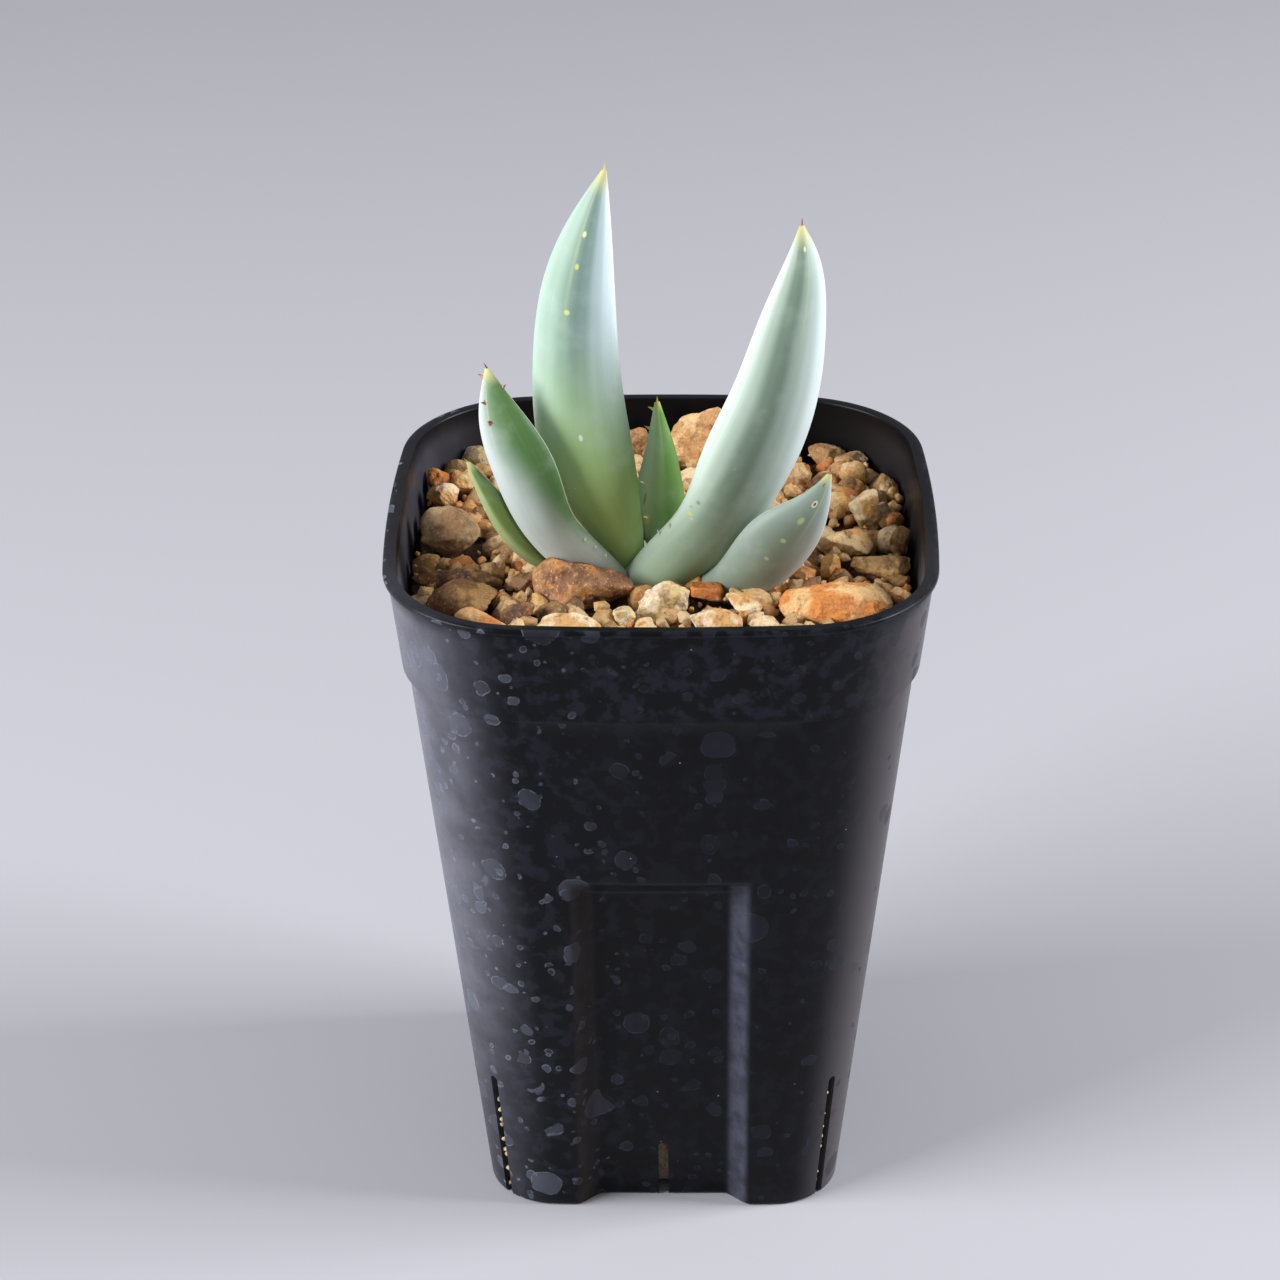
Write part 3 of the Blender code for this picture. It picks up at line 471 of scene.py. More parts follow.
def lime_spots(tree, bent, wanted):
    """Haze inside the spots and rings round them. A cell has a spot if its chance is below `wanted`."""
    haze, ring = 0.0, 0.0
    for scale, radius, share in SPOT_LAYERS:
        cell = add(tree, "TexVoronoi", {"Vector": bent, "Scale": scale, "Randomness": 1.0})
        chance = add(tree, "SeparateColor", {0: cell.outputs["Color"]})
        size = maths(tree, "ADD", times(tree, chance.outputs[1], radius * 0.8), radius * 0.35)
        distance = maths(tree, "DIVIDE", cell.outputs["Distance"], scale)
        there = maths(tree, "LESS_THAN", chance.outputs[0], times(tree, wanted, share))
        edge = maths(tree, "SUBTRACT", distance, size)
        depth = between(tree, chance.outputs[2], 0.0, 1.0, 0.35, 1.0)
        inside = times(tree, between(tree, edge, 0.10, -0.10), there, depth)
        rim = times(tree, between(tree, maths(tree, "ABSOLUTE", edge), 0.13, 0.0), there)
        haze = maths(tree, "MAXIMUM", haze, inside)
        ring = maths(tree, "MAXIMUM", ring, rim)
    return haze, ring


def make_pot_finish():
    """Black plastic with blotches, a grey film and painted sheen, lime spots, two strips of painted sheen
    and dust, in that order.
    """
    material, tree, shader, place = finish("black_plastic", 0.34, 0.14)
    bent = bent_place(tree, place)
    x, y, z = add(tree, "SeparateXYZ", {0: place}).outputs
    side = maths(tree, "DIVIDE", x, maths(tree, "ADD", times(tree, z, WIDENING), BASE_HALF))
    outward = facing_out(tree, place)
    cloud = speckle(tree, place, 0.16, 4.0)
    colour = blend(tree, cloud, (0.0018, 0.0018, 0.0028), (0.0045, 0.0045, 0.0066))

    blotch = between(tree, speckle(tree, bent, 0.42, 5.0, 0.55), 0.47, 0.60)
    collar = between(tree, z, COLLAR_BOTTOM - 1.4, COLLAR_BOTTOM + 1.6)
    banded = maths(tree, "MAXIMUM", collar, between(tree, side, 0.1, -0.7, 0.25, 1.0))
    blotch = times(tree, blotch, banded, between(tree, outward, 0.0, 5.0, 0.0, 0.5))
    colour = blend(tree, blotch, colour, (0.020, 0.022, 0.034))

    # Painted sheen: near the left and right edges toward the front, a thin grey film that also stands in
    # for the windows' light on the sides.
    upper_edge = between(tree, z, 99.6, 96.5, 0.15, 1.0)
    foot = between(tree, z, 5.0, 50.0, 0.25, 1.0)
    front = between(tree, y, 6.0, -20.0, 0.3, 1.0)
    uneven = between(tree, cloud, 0.3, 0.7, 0.75, 1.15)
    sheen_and_film_left = times(tree, between(tree, side, -0.54, -0.98), uneven, upper_edge, foot, front)
    sheen_and_film_right = times(tree, between(tree, side, 0.70, 1.0), upper_edge, front)
    colour = blend(tree, sheen_and_film_left, colour, (0.150, 0.148, 0.180))
    colour = blend(tree, sheen_and_film_right, colour, (0.085, 0.078, 0.082))

    left = between(tree, side, 0.35, -0.75, 0.5, 1.0)
    height = between(tree, z, 30.0, 96.0, 0.8, 1.0)
    patchy = between(tree, speckle(tree, place, 0.05, 2.0), 0.36, 0.6, 0.45, 1.0)
    haze, ring = lime_spots(tree, bent, times(tree, left, height, patchy, between(tree, outward, 0.0, 5.0)))
    ring = times(tree, ring, between(tree, speckle(tree, place, 0.7, 3.0), 0.42, 0.62))
    # Painted light: the spots and rings are painted paler toward the left edge, where the left window's
    # light falls.
    sheen_toward_left = between(tree, side, 0.0, -0.9, 0.0, 1.0)
    haze_colour = blend(tree, sheen_toward_left, (0.020, 0.022, 0.033), (0.15, 0.16, 0.21))
    ring_colour = blend(tree, sheen_toward_left, (0.034, 0.036, 0.050), (0.26, 0.27, 0.33))
    colour = blend(tree, times(tree, haze, 0.55), colour, haze_colour)
    colour = blend(tree, times(tree, ring, 0.6), colour, ring_colour)

    low = times(tree, between(tree, z, RECESS_TOP + 0.3, RECESS_TOP - 1.5), between(tree, y, 20.0, -20.0))
    streaky = between(tree, speckle(tree, place, 0.35, 3.0), 0.3, 0.65, 0.5, 1.0)
    # Paints the two strips of sheen on the flanks of the recess.
    for start, full, tint, strength in RECESS_SHEEN_STRIPS:
        strip = times(tree, between(tree, x, start, full), between(tree, x, start + 3.6, start + 2.4))
        colour = blend(tree, times(tree, strip, streaky, low, strength), colour, tint)

    dust = add(tree, "TexVoronoi", {"Vector": place, "Scale": 0.32, "Randomness": 1.0})
    dust_chance = add(tree, "SeparateColor", {0: dust.outputs["Color"]}).outputs[2]
    chosen = maths(tree, "LESS_THAN", dust_chance, 0.3)
    speck = times(tree, between(tree, dust.outputs["Distance"], 0.05, 0.02), chosen, 0.6)
    colour = blend(tree, speck, colour, (0.35, 0.33, 0.32))
    tree.links.new(colour, shader.inputs["Base Color"])
    tree.links.new(between(tree, haze, 0.0, 1.0, 0.34, 0.46), shader.inputs["Roughness"])
    bump(tree, shader, speckle(tree, place, 0.7, 4.0), 0.02, 0.5)
    return material


pot.data.materials.clear()
pot.data.materials.append(make_pot_finish())
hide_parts("pot")
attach(pot, "root")
print("pot finished")

# %% [markdown]
# ## The shape of a leaf
#
# A young aloe leaf is a thick crescent in section: strongly swollen below, nearly flat above, and bent
# round the stem at its base. That section is carried along a smooth line from root to tip. The line and
# the width pass through a few stations that were measured on the photo, joined by a natural cubic
# spline, so the curve of each leaf is the real one's.


# %% Leaf surface
def spline(rows, count):
    """A natural cubic spline through the rows, by chord length: values, slopes and share of the way."""
    rows = np.asarray(rows, float)
    size = len(rows)
    steps = np.linalg.norm(np.diff(rows[:, :3], axis=0), axis=1)
    knots = np.concatenate(([0.0], np.cumsum(steps)))
    system = np.eye(size)
    right = np.zeros((size, rows.shape[1]))
    for i in range(1, size - 1):
        system[i, i - 1 : i + 2] = steps[i - 1], 2 * (steps[i - 1] + steps[i]), steps[i]
        right[i] = 6 * ((rows[i + 1] - rows[i]) / steps[i] - (rows[i] - rows[i - 1]) / steps[i - 1])
    bend = np.linalg.solve(system, right)
    at = np.linspace(0.0, knots[-1], count)
    j = np.clip(np.searchsorted(knots, at, side="right") - 1, 0, size - 2)
    step = steps[j][:, None]
    a = (knots[j + 1] - at)[:, None] / step
    b = 1 - a
    values = a * rows[j] + b * rows[j + 1]
    values += ((a**3 - a) * bend[j] + (b**3 - b) * bend[j + 1]) * step**2 / 6
    slopes = (rows[j + 1] - rows[j]) / step
    slopes += ((3 * b * b - 1) * bend[j + 1] - (3 * a * a - 1) * bend[j]) * step / 6
    return values, slopes, at / knots[-1]


KEEL, HOLLOW, TIP_CURL = 0.62, 0.14, 0.25
RIDGE = 0.12  # how far the round underside gives way to two flat flanks near the tip


def leaf_surface(stations, facing, curl, along, around, grow=0.0):
    """Rings of a leaf, its centre line and the direction of that line.

    At a share s of the way, the half width w comes from the spline. A point of the section has an angle
    a: it lies cos(a) of the way across, on an arc of half angle `curl` and radius w / curl, and is lifted
    off that arc by KEEL * w * sin(a) below the leaf and by HOLLOW * w * |sin(a)|^0.7 above it. Near the
    root it is lifted less. Toward the tip, sin(a) is mixed with 1 - |cos(a)|^1.15, which has a ridge in
    the middle. `grow` swells the whole leaf by so many mm, for cutting the pieces that lie against it.
    """
    values, slopes, share = spline(stations, along)
    centre = values[:, :3]
    half = np.maximum(values[:, 3] / 2, 0.3) + grow
    forward = slopes[:, :3] / np.linalg.norm(slopes[:, :3], axis=1)[:, None]
    front = np.array([math.sin(math.radians(facing)), -math.cos(math.radians(facing)), 0.0])
    under = front - (forward @ front)[:, None] * forward
    under /= np.linalg.norm(under, axis=1)[:, None]
    side = np.cross(forward, under)
    curl = TIP_CURL + (curl - TIP_CURL) * (1 - smooth(share / 0.6))
    radius = half / curl
    angle = np.linspace(0.0, 2 * math.pi, around, endpoint=False)
    across = np.cos(angle)
    rise = np.round(np.sin(angle), 9)
    thick = half * (0.45 + 0.55 * smooth(share / 0.35))
    ridge = RIDGE * smooth((share - 0.25) / 0.45)[:, None]
    flanks = 1 - np.sqrt(across**2 + 0.0012) ** 1.15
    swell = (1 - ridge) * rise + ridge * np.minimum(flanks, rise)
    swell = np.maximum(swell, 0.0) * KEEL
    lift = np.where(rise > 0, swell, 0.0) - np.where(rise < 0, np.abs(rise) ** 0.7 * HOLLOW, 0.0)
    lift = lift * thick[:, None] + np.sign(rise)[None, :] * grow
    bent = across[None, :] * curl[:, None]
    skin = centre[:, None, :] + (radius[:, None] * np.sin(bent))[..., None] * side[:, None, :]
    skin = skin + (radius[:, None] * (np.cos(bent) - 1))[..., None] * under[:, None, :]
    outward = np.cos(bent)[..., None] * under[:, None, :] + np.sin(bent)[..., None] * side[:, None, :]
    return skin + lift[..., None] * outward, centre, forward


LEAVES = {
    "leaf_young_centre": (15, 1.1, (
        (-1.9, -4.4, 90.6, 5.0), (-0.4, -4.3, 93.4, 6.8), (-0.2, -3.8, 100.2, 7.7),
        (-0.1, -3.2, 107.9, 5.1), (-0.5, -2.5, 116.6, 0.7))),
    "leaf_tall_left": (-25, 1.3, (
        (-3.6, -5.4, 89.5, 6.0), (-6.4, -6.4, 98.3, 8.6), (-9.4, -7.7, 108.0, 12.7),
        (-11.1, -8.4, 123.1, 12.7), (-10.5, -8.2, 136.4, 9.9), (-8.4, -7.1, 146.3, 4.4),
        (-7.1, -6.0, 150.8, 0.7))),
    "leaf_tall_right": (25, 1.1, (
        (-1.2, -8.2, 89.7, 11.4), (1.3, -8.6, 93.2, 11.6), (6.6, -8.8, 100.1, 11.2),
        (11.9, -9.9, 111.8, 13.5), (15.4, -10.8, 122.3, 12.4), (17.5, -10.6, 132.4, 9.3),
        (18.6, -9.2, 140.7, 4.1), (18.4, -8.0, 143.9, 0.7))),
    "leaf_mid_left": (-42, 1.1, (
        (-5.0, -7.0, 88.0, 8.0), (-9.9, -8.5, 94.6, 8.6), (-15.6, -10.4, 103.2, 10.0),
        (-18.3, -11.4, 111.7, 11.2), (-20.9, -11.5, 118.6, 8.0), (-22.7, -11.0, 125.3, 0.7))),
    "leaf_low_right": (24, 1.0, (
        (1.8, -7.6, 87.5, 8.0), (9.8, -9.9, 92.4, 8.2), (17.2, -11.9, 102.2, 10.0),
        (20.9, -13.2, 107.6, 4.0), (22.4, -13.0, 110.8, 0.7))),
    "leaf_low_left": (-40, 1.0, (
        (-6.2, -6.3, 87.0, 6.0), (-11.0, -6.4, 92.4, 6.0), (-18.1, -7.0, 98.0, 6.3),
        (-22.3, -7.6, 104.0, 4.6), (-25.8, -8.0, 110.3, 0.7))),
}
print("leaves:", ", ".join(LEAVES))

# %% [markdown]
# ## Spines
#
# The leaves end in one or two short spines, and have tiny teeth along their edges. Each is a slim cone
# with its root sunk in the leaf. A spine is given by its place on the leaf: the share of the way to the
# tip, the angle round the section, and its length.


# %% Spines
SPINE_RADIUS, SPINE_SINK, TIP_SPINE_SINK = 0.32, 0.4, 1.3
SPINES = {
    "leaf_young_centre": ((1.0, 90, 0.9), (0.96, 180, 0.8), (0.86, 180, 0.8), (0.58, 142, 0.7),
                          (0.4, 122, 0.7)),
    "leaf_tall_left": ((1.0, 210, 1.05),),
    "leaf_tall_right": ((1.0, 90, 1.0), (0.18, 150, 0.8), (0.15, 155, 0.8), (0.1, 165, 0.8)),
    "leaf_mid_left": ((1.0, 90, 0.9), (0.97, 145, 0.8), (0.9, 95, 0.7), (0.84, 85, 0.7),
                      (0.94, 0, 0.7), (0.34, 25, 0.6), (0.28, 25, 0.6), (0.23, 25, 0.6)),
    "leaf_low_right": ((1.0, 210, 1.1),),
    "leaf_low_left": ((1.0, 90, 0.8), (0.9, 180, 0.6), (0.79, 180, 0.6)),
}
SPINE_ROWS, SPINE_SIDES = 5, 10


def spine_skin(skin, centre, forward, share, turn, length):
    """Rings of one spine: a cone whose radius falls as (1 - t)^0.8 from its sunk root to its point."""
    ring = round(share * (len(skin) - 1))
    root = skin[ring, round(turn / 360 * skin.shape[1]) % skin.shape[1]]
    out = root - centre[ring]
    out /= np.linalg.norm(out)
    tip = share > 0.99
    lean = forward[ring] + 0.3 * out if tip else 0.85 * out + 0.55 * forward[ring]
    lean /= np.linalg.norm(lean)
    foot = centre[ring] if tip else root
    sink = TIP_SPINE_SINK if tip else SPINE_SINK
    t = np.linspace(0, 1, SPINE_ROWS)
    axis = foot + np.outer(t * (length + sink) - sink, lean)
    side = np.cross(lean, (0.0, 1.0, 0.0))
    side /= np.linalg.norm(side)
    rise = np.cross(lean, side)
    angle = np.linspace(0, 2 * math.pi, SPINE_SIDES, endpoint=False)
    radius = SPINE_RADIUS * np.maximum(1 - t, 0.04) ** 0.8
    circle = np.cos(angle)[:, None] * side - np.sin(angle)[:, None] * rise
    return axis[:, None, :] + radius[:, None, None] * circle[None, :, :]


print("spines:", sum(len(spines) for spines in SPINES.values()))

# %% [markdown]
# ## Leaf finish
#
# A powdery bloom makes the tall leaves mint-white. It thins toward the root, where the leaf is plain
# green, and on the tall leaves it ends higher on the right flank than on the left: the green below it
# there is darkened with painted shadow. On the real leaves the keel turns away from the windows, so a dark
# band runs along it between bright flanks. Here the section alone doesn't show that, so the band and the
# bright lit flanks are painted, as stops of a colour ramp round the section. Painted shadow darkens the
# root of the low left leaf too, and painted light brightens the right edge of the low right leaf. The
# middle left leaf has a green face on the right of a line that runs from its right edge at the root to its
# keel at the tip: the face is its own green upper side, darkened with painted shade. The finish reads the
# leaf's own map: U runs round the section and V from root to tip, so every tint and mark follows the leaf.


# %% Leaf finish
def leaf_spot(tree, round_share, along, share, angle, radius, stretch, girth, length):
    """A soft spot at `share` and `angle`: 1 in its middle, 0 beyond `radius` mm, drawn out lengthwise."""
    aside = times(tree, maths(tree, "SUBTRACT", round_share, angle / 360), girth)
    onward = times(tree, maths(tree, "SUBTRACT", along, share), length / stretch)
    squares = maths(tree, "ADD", times(tree, aside, aside), times(tree, onward, onward))
    return between(tree, maths(tree, "SQRT", squares), radius, radius * 0.45)


LEAF_SIZE, LEAF_TIP = (28.0, 62.0), (0.62, 0.60, 0.28)


def make_leaf_finish(name, bloom_and_light, root, powder, marks, face=None, size=LEAF_SIZE, tip=LEAF_TIP):
    """The finish of one leaf.

    `bloom_and_light` and `root` are the powdery colours and those at the root, as stops round the section,
    with painted light and shade among them: U is 0 at the right edge, 0.25 at the keel and 0.5 at the left
    edge. `powder` is (from, full, lean): the shares of the way between which the powder comes in, and how
    much that changes from flank to flank. `face` is (colour, U at the root, U at the tip, from, to,
    softness) of the face right of a line, a colour partly darkened with painted shade.
    `marks` are (share, angle, radius, stretch, colour), `size` is the leaf's girth and length in mm, and
    `tip` is the colour of its tip.
    """
    material, tree, shader, place = finish(name, 0.46, 0.28)
    unrolled = add(tree, "UVMap", uv_map="leaf").outputs[0]
    round_share, along, _ = add(tree, "SeparateXYZ", {0: unrolled}).outputs
    cloud = speckle(tree, place, 0.22, 3.0)
    streak_place = add(tree, "Mapping", {"Vector": unrolled, "Scale": (70.0, 4.0, 1.0)})
    streak = speckle(tree, streak_place.outputs[0], 1.0, 4.0, 0.6)
    powder_from, powder_full, lean = powder
    # The lean lifts the powder's edge on the right flank, where the green below is painted shadow on the
    # tall leaves.
    moved = times(tree, maths(tree, "SUBTRACT", round_share, 0.25), 4 * lean)
    moved = maths(tree, "ADD", moved, times(tree, maths(tree, "SUBTRACT", cloud, 0.5), 0.08))
    share = between(tree, maths(tree, "ADD", along, moved), powder_from, powder_full)
    colour = blend(tree, share, ramp(tree, round_share, root), ramp(tree, round_share, bloom_and_light))
    if face is not None:
        # The face right of the line is the leaf's own green upper side, darkened with painted shade.
        face_and_shade_colour, low, high, start, end, soft = face
        line = between(tree, along, start, end, low, high)
        beyond = maths(tree, "SUBTRACT", line, round_share)
        there = times(tree, between(tree, beyond, -soft, soft), between(tree, round_share, 0.52, 0.49))
        colour = blend(tree, there, colour, face_and_shade_colour)
    upper = between(tree, round_share, 0.49, 0.53)
    colour = blend(tree, times(tree, upper, 0.55), colour, (0.20, 0.33, 0.14))
    colour = blend(tree, between(tree, streak, 0.35, 0.75, 0.0, 0.10), colour, (0.22, 0.32, 0.22))
    colour = blend(tree, between(tree, cloud, 0.45, 0.75, 0.0, 0.12), colour, (0.70, 0.80, 0.72))
    off_keel = maths(tree, "ABSOLUTE", maths(tree, "SUBTRACT", round_share, 0.25))
    keel = times(tree, between(tree, off_keel, 0.012, 0.002), between(tree, along, 0.62, 0.85), 0.25)
    colour = blend(tree, keel, colour, (0.62, 0.68, 0.38))
    right_rim = maths(tree, "ABSOLUTE", maths(tree, "SUBTRACT", 1.0, round_share))
    left_rim = maths(tree, "ABSOLUTE", maths(tree, "SUBTRACT", round_share, 0.5))
    rim = maths(tree, "MINIMUM", left_rim, maths(tree, "MINIMUM", round_share, right_rim))
    colour = blend(tree, between(tree, rim, 0.008, 0.002, 0.0, 0.25), colour, (0.66, 0.70, 0.52))
    colour = blend(tree, between(tree, along, 0.94, 1.0), colour, tip)
    for at, angle, radius, stretch, tint in marks:
        spot = leaf_spot(tree, round_share, along, at, angle, radius, stretch, *size)
        colour = blend(tree, spot, colour, tint)
    tree.links.new(colour, shader.inputs["Base Color"])
    shader.inputs["Subsurface Weight"].default_value = 0.10
    shader.inputs["Subsurface Radius"].default_value = (1.4 * MM, 2.8 * MM, 0.8 * MM)
    shader.inputs["Subsurface Scale"].default_value = 1.0
    tree.links.new(between(tree, cloud, 0.3, 0.7, 0.42, 0.52), shader.inputs["Roughness"])
    bump(tree, shader, streak, 0.02, 0.25)
    return material


def make_spine_finish(name, root, point):
    """A spine whose colour runs from `root` to `point`."""
    material, tree, shader, place = finish(name, 0.45, 0.4)
    unrolled = add(tree, "UVMap", uv_map="leaf").outputs[0]
    share = add(tree, "SeparateXYZ", {0: unrolled}).outputs[1]
    colour = blend(tree, between(tree, share, 0.35, 0.9), root, point)
    colour = blend(tree, between(tree, speckle(tree, place, 3.0), 0.4, 0.7, 0.0, 0.3), colour, point)
    tree.links.new(colour, shader.inputs["Base Color"])
    return material


YELLOW, BROWN, CREAM = (0.60, 0.66, 0.22), (0.22, 0.07, 0.03), (0.76, 0.76, 0.42)
BRUISE, SCAR, DULL = (0.26, 0.36, 0.33), (0.70, 0.74, 0.62), (0.46, 0.55, 0.28)
# Besides the leaves' own colours, the stops hold painted light and shade: bright lit flanks, a dark band
# along the keel, and painted shadow low on the right flank of the tall leaves.
LEAF_FINISHES = {
    "leaf_tall_left": make_leaf_finish(
        "tall_left_leaf", powder=(0.22, 0.7, 0.12),
        bloom_and_light=(
            (0.0, (0.8, 0.9, 0.96)), (0.09, (0.72, 0.84, 0.89)), (0.145, (0.46, 0.58, 0.59)),
            (0.185, (0.24, 0.34, 0.31)), (0.215, (0.19, 0.28, 0.25)), (0.25, (0.24, 0.36, 0.28)),
            (0.31, (0.37, 0.51, 0.41)), (0.41, (0.5, 0.65, 0.57)), (0.5, (0.52, 0.66, 0.6)),
        ),
        # The dark right edge of this root is painted shadow.
        root=(
            (0.0, (0.08, 0.18, 0.04)), (0.22, (0.42, 0.62, 0.22)), (0.34, (0.66, 0.84, 0.44)),
            (0.5, (0.62, 0.78, 0.46)),
        ),
        marks=(
            (0.87, 84, 0.4, 1.3, CREAM), (0.805, 84, 0.32, 1.6, YELLOW), (0.71, 88, 0.38, 1.2, YELLOW),
            (0.44, 76, 0.2, 3.0, SCAR), (0.32, 92, 0.16, 0.9, SCAR), (0.318, 99, 0.2, 0.6, SCAR),
            (0.322, 106, 0.14, 0.8, SCAR),
        ),
    ),
    "leaf_tall_right": make_leaf_finish(
        "tall_right_leaf", powder=(0.0, 0.46, 0.06),
        bloom_and_light=(
            (0.0, (0.84, 0.9, 0.92)), (0.15, (0.66, 0.75, 0.75)), (0.21, (0.46, 0.55, 0.51)),
            (0.26, (0.33, 0.42, 0.36)), (0.295, (0.18, 0.25, 0.19)), (0.33, (0.21, 0.29, 0.22)),
            (0.375, (0.44, 0.55, 0.45)), (0.43, (0.62, 0.74, 0.65)), (0.5, (0.68, 0.8, 0.71)),
        ),
        # The dark right edge of this root is painted shadow.
        root=(
            (0.0, (0.08, 0.17, 0.04)), (0.2, (0.16, 0.27, 0.11)), (0.35, (0.38, 0.5, 0.36)),
            (0.5, (0.5, 0.62, 0.5)),
        ),
        marks=(
            (0.95, 100, 0.4, 1.2, CREAM), (0.31, 136, 0.35, 1.4, BRUISE),
            (0.265, 138, 0.4, 1.2, YELLOW), (0.285, 142, 0.25, 1.0, BRUISE),
            (0.255, 132, 0.25, 1.0, YELLOW), (0.44, 118, 0.18, 2.0, BRUISE),
        ),
    ),
    "leaf_mid_left": make_leaf_finish(
        "mid_left_leaf", powder=(0.0, 0.3, 0.0), size=(23.0, 44.0),
        face=((0.085, 0.18, 0.05), -0.02, 0.27, 0.12, 0.95, 0.1),
        bloom_and_light=(
            (0.0, (0.42, 0.5, 0.42)), (0.2, (0.52, 0.59, 0.57)), (0.32, (0.66, 0.72, 0.71)),
            (0.5, (0.76, 0.82, 0.83)),
        ),
        root=((0.0, (0.1, 0.18, 0.06)), (0.14, (0.38, 0.46, 0.42)), (0.5, (0.56, 0.63, 0.63))),
        marks=(
            (0.9, 98, 0.35, 1.3, BROWN), (0.84, 88, 0.35, 1.4, BROWN), (0.965, 140, 0.3, 1.0, BROWN),
        ),
    ),
    "leaf_low_right": make_leaf_finish(
        "low_right_leaf", powder=(0.0, 0.5, 0.0), size=(21.0, 31.0),
        bloom_and_light=(
            (0.0, (0.86, 0.92, 0.98)), (0.07, (0.74, 0.8, 0.85)), (0.14, (0.46, 0.52, 0.53)),
            (0.21, (0.3, 0.36, 0.34)), (0.29, (0.23, 0.3, 0.23)), (0.38, (0.26, 0.32, 0.27)),
            (0.5, (0.31, 0.37, 0.33)),
        ),
        # The pale right edge of this root is painted light, and its dark left half is painted shade.
        root=(
            (0.0, (0.66, 0.74, 0.8)), (0.14, (0.3, 0.37, 0.36)), (0.28, (0.15, 0.22, 0.16)),
            (0.5, (0.11, 0.17, 0.11)),
        ),
        marks=(
            (0.955, 114, 0.34, 1.0, BROWN), (0.875, 106, 0.6, 1.0, (0.76, 0.78, 0.62)),
            (0.875, 106, 0.32, 1.0, BROWN), (0.795, 108, 0.45, 1.5, DULL),
            (0.685, 108, 0.34, 1.3, DULL), (0.57, 110, 0.28, 1.3, DULL),
        ),
    ),
    "leaf_young_centre": make_leaf_finish(
        "young_leaf", powder=(0.0, 0.6, 0.0), size=(17.0, 27.0), tip=(0.45, 0.55, 0.12),
        bloom_and_light=(
            (0.0, (0.05, 0.12, 0.02)), (0.13, (0.15, 0.3, 0.07)), (0.22, (0.15, 0.3, 0.07)),
            (0.28, (0.3, 0.48, 0.19)), (0.36, (0.52, 0.68, 0.42)), (0.5, (0.36, 0.5, 0.38)),
        ),
        root=(
            (0.0, (0.04, 0.1, 0.02)), (0.16, (0.2, 0.36, 0.08)), (0.25, (0.16, 0.31, 0.06)),
            (0.5, (0.12, 0.22, 0.06)),
        ),
        marks=(
            (0.58, 138, 0.45, 1.6, YELLOW), (0.4, 120, 0.4, 2.4, YELLOW),
            (0.5, 128, 0.2, 6.0, (0.3, 0.42, 0.12)), (0.86, 176, 0.5, 1.0, YELLOW),
        ),
    ),
    "leaf_low_left": make_leaf_finish(
        "low_left_leaf", powder=(0.2, 0.66, 0.0), size=(15.0, 31.0), tip=(0.55, 0.58, 0.25),
        bloom_and_light=(
            (0.0, (0.07, 0.13, 0.03)), (0.2, (0.13, 0.2, 0.05)), (0.27, (0.42, 0.5, 0.22)),
            (0.5, (0.62, 0.68, 0.46)),
        ),
        # This dark root is painted shadow.
        root=((0.0, (0.02, 0.045, 0.01)), (0.25, (0.03, 0.06, 0.015)), (0.5, (0.05, 0.09, 0.03))),
        marks=((0.87, 128, 0.3, 1.4, CREAM), (0.765, 126, 0.35, 1.6, CREAM)),
    ),
}
BROWN_SPINE = make_spine_finish("brown_spine", (0.55, 0.30, 0.16), (0.24, 0.06, 0.04))
YELLOW_SPINE = make_spine_finish("yellow_spine", (0.56, 0.60, 0.20), (0.60, 0.42, 0.16))
PALE_SPINE = make_spine_finish("pale_spine", (0.60, 0.70, 0.42), (0.78, 0.80, 0.58))
print("leaf finishes:", len(LEAF_FINISHES))

# %% [markdown]
# ## Build the leaves
#
# Each leaf is made as one fine grid. An outer leaf clasps the inner ones, so it is cut by the inner
# leaves swollen by the gap, as the CAD solids are. The map is written first, because the cut keeps it.


# %% Leaves
ALONG, AROUND = 110, 72
CUT_ALONG, CUT_AROUND = 60, 36
BROWN_SPINED = ("leaf_mid_left", "leaf_low_right", "leaf_tall_right")


def leaf_map(obj, rows, columns):
    """Writes U = angle / full turn and V = share of the way for every corner of the grid's faces.

    The two middle points of a spine's fans come after the grid's points. Where a face crosses from the
    last column to the first, its U runs past 1 instead of back to 0.
    """
    count = rows * columns
    numbers = np.empty(len(obj.data.loops), np.int32)
    obj.data.loops.foreach_get("vertex_index", numbers)
    u = (numbers % columns) / columns
    v = (numbers // columns) / (rows - 1)
    u = np.where(numbers < count, u, 0.25)
    v = np.where(numbers == count, 0.0, np.where(numbers == count + 1, 1.0, v))
    starts = np.empty(len(obj.data.polygons), np.int32)
    totals = np.empty(len(obj.data.polygons), np.int32)
    obj.data.polygons.foreach_get("loop_start", starts)
    obj.data.polygons.foreach_get("loop_total", totals)
    face_of = np.repeat(np.arange(len(starts)), totals)
    most = np.maximum.reduceat(u, starts)[face_of]
    u = np.where(most - u > 0.5, u + 1.0, u)
    layer = obj.data.uv_layers.new(name="leaf")
    layer.data.foreach_set("uv", np.stack([u, v], axis=-1).astype(np.float32).ravel())


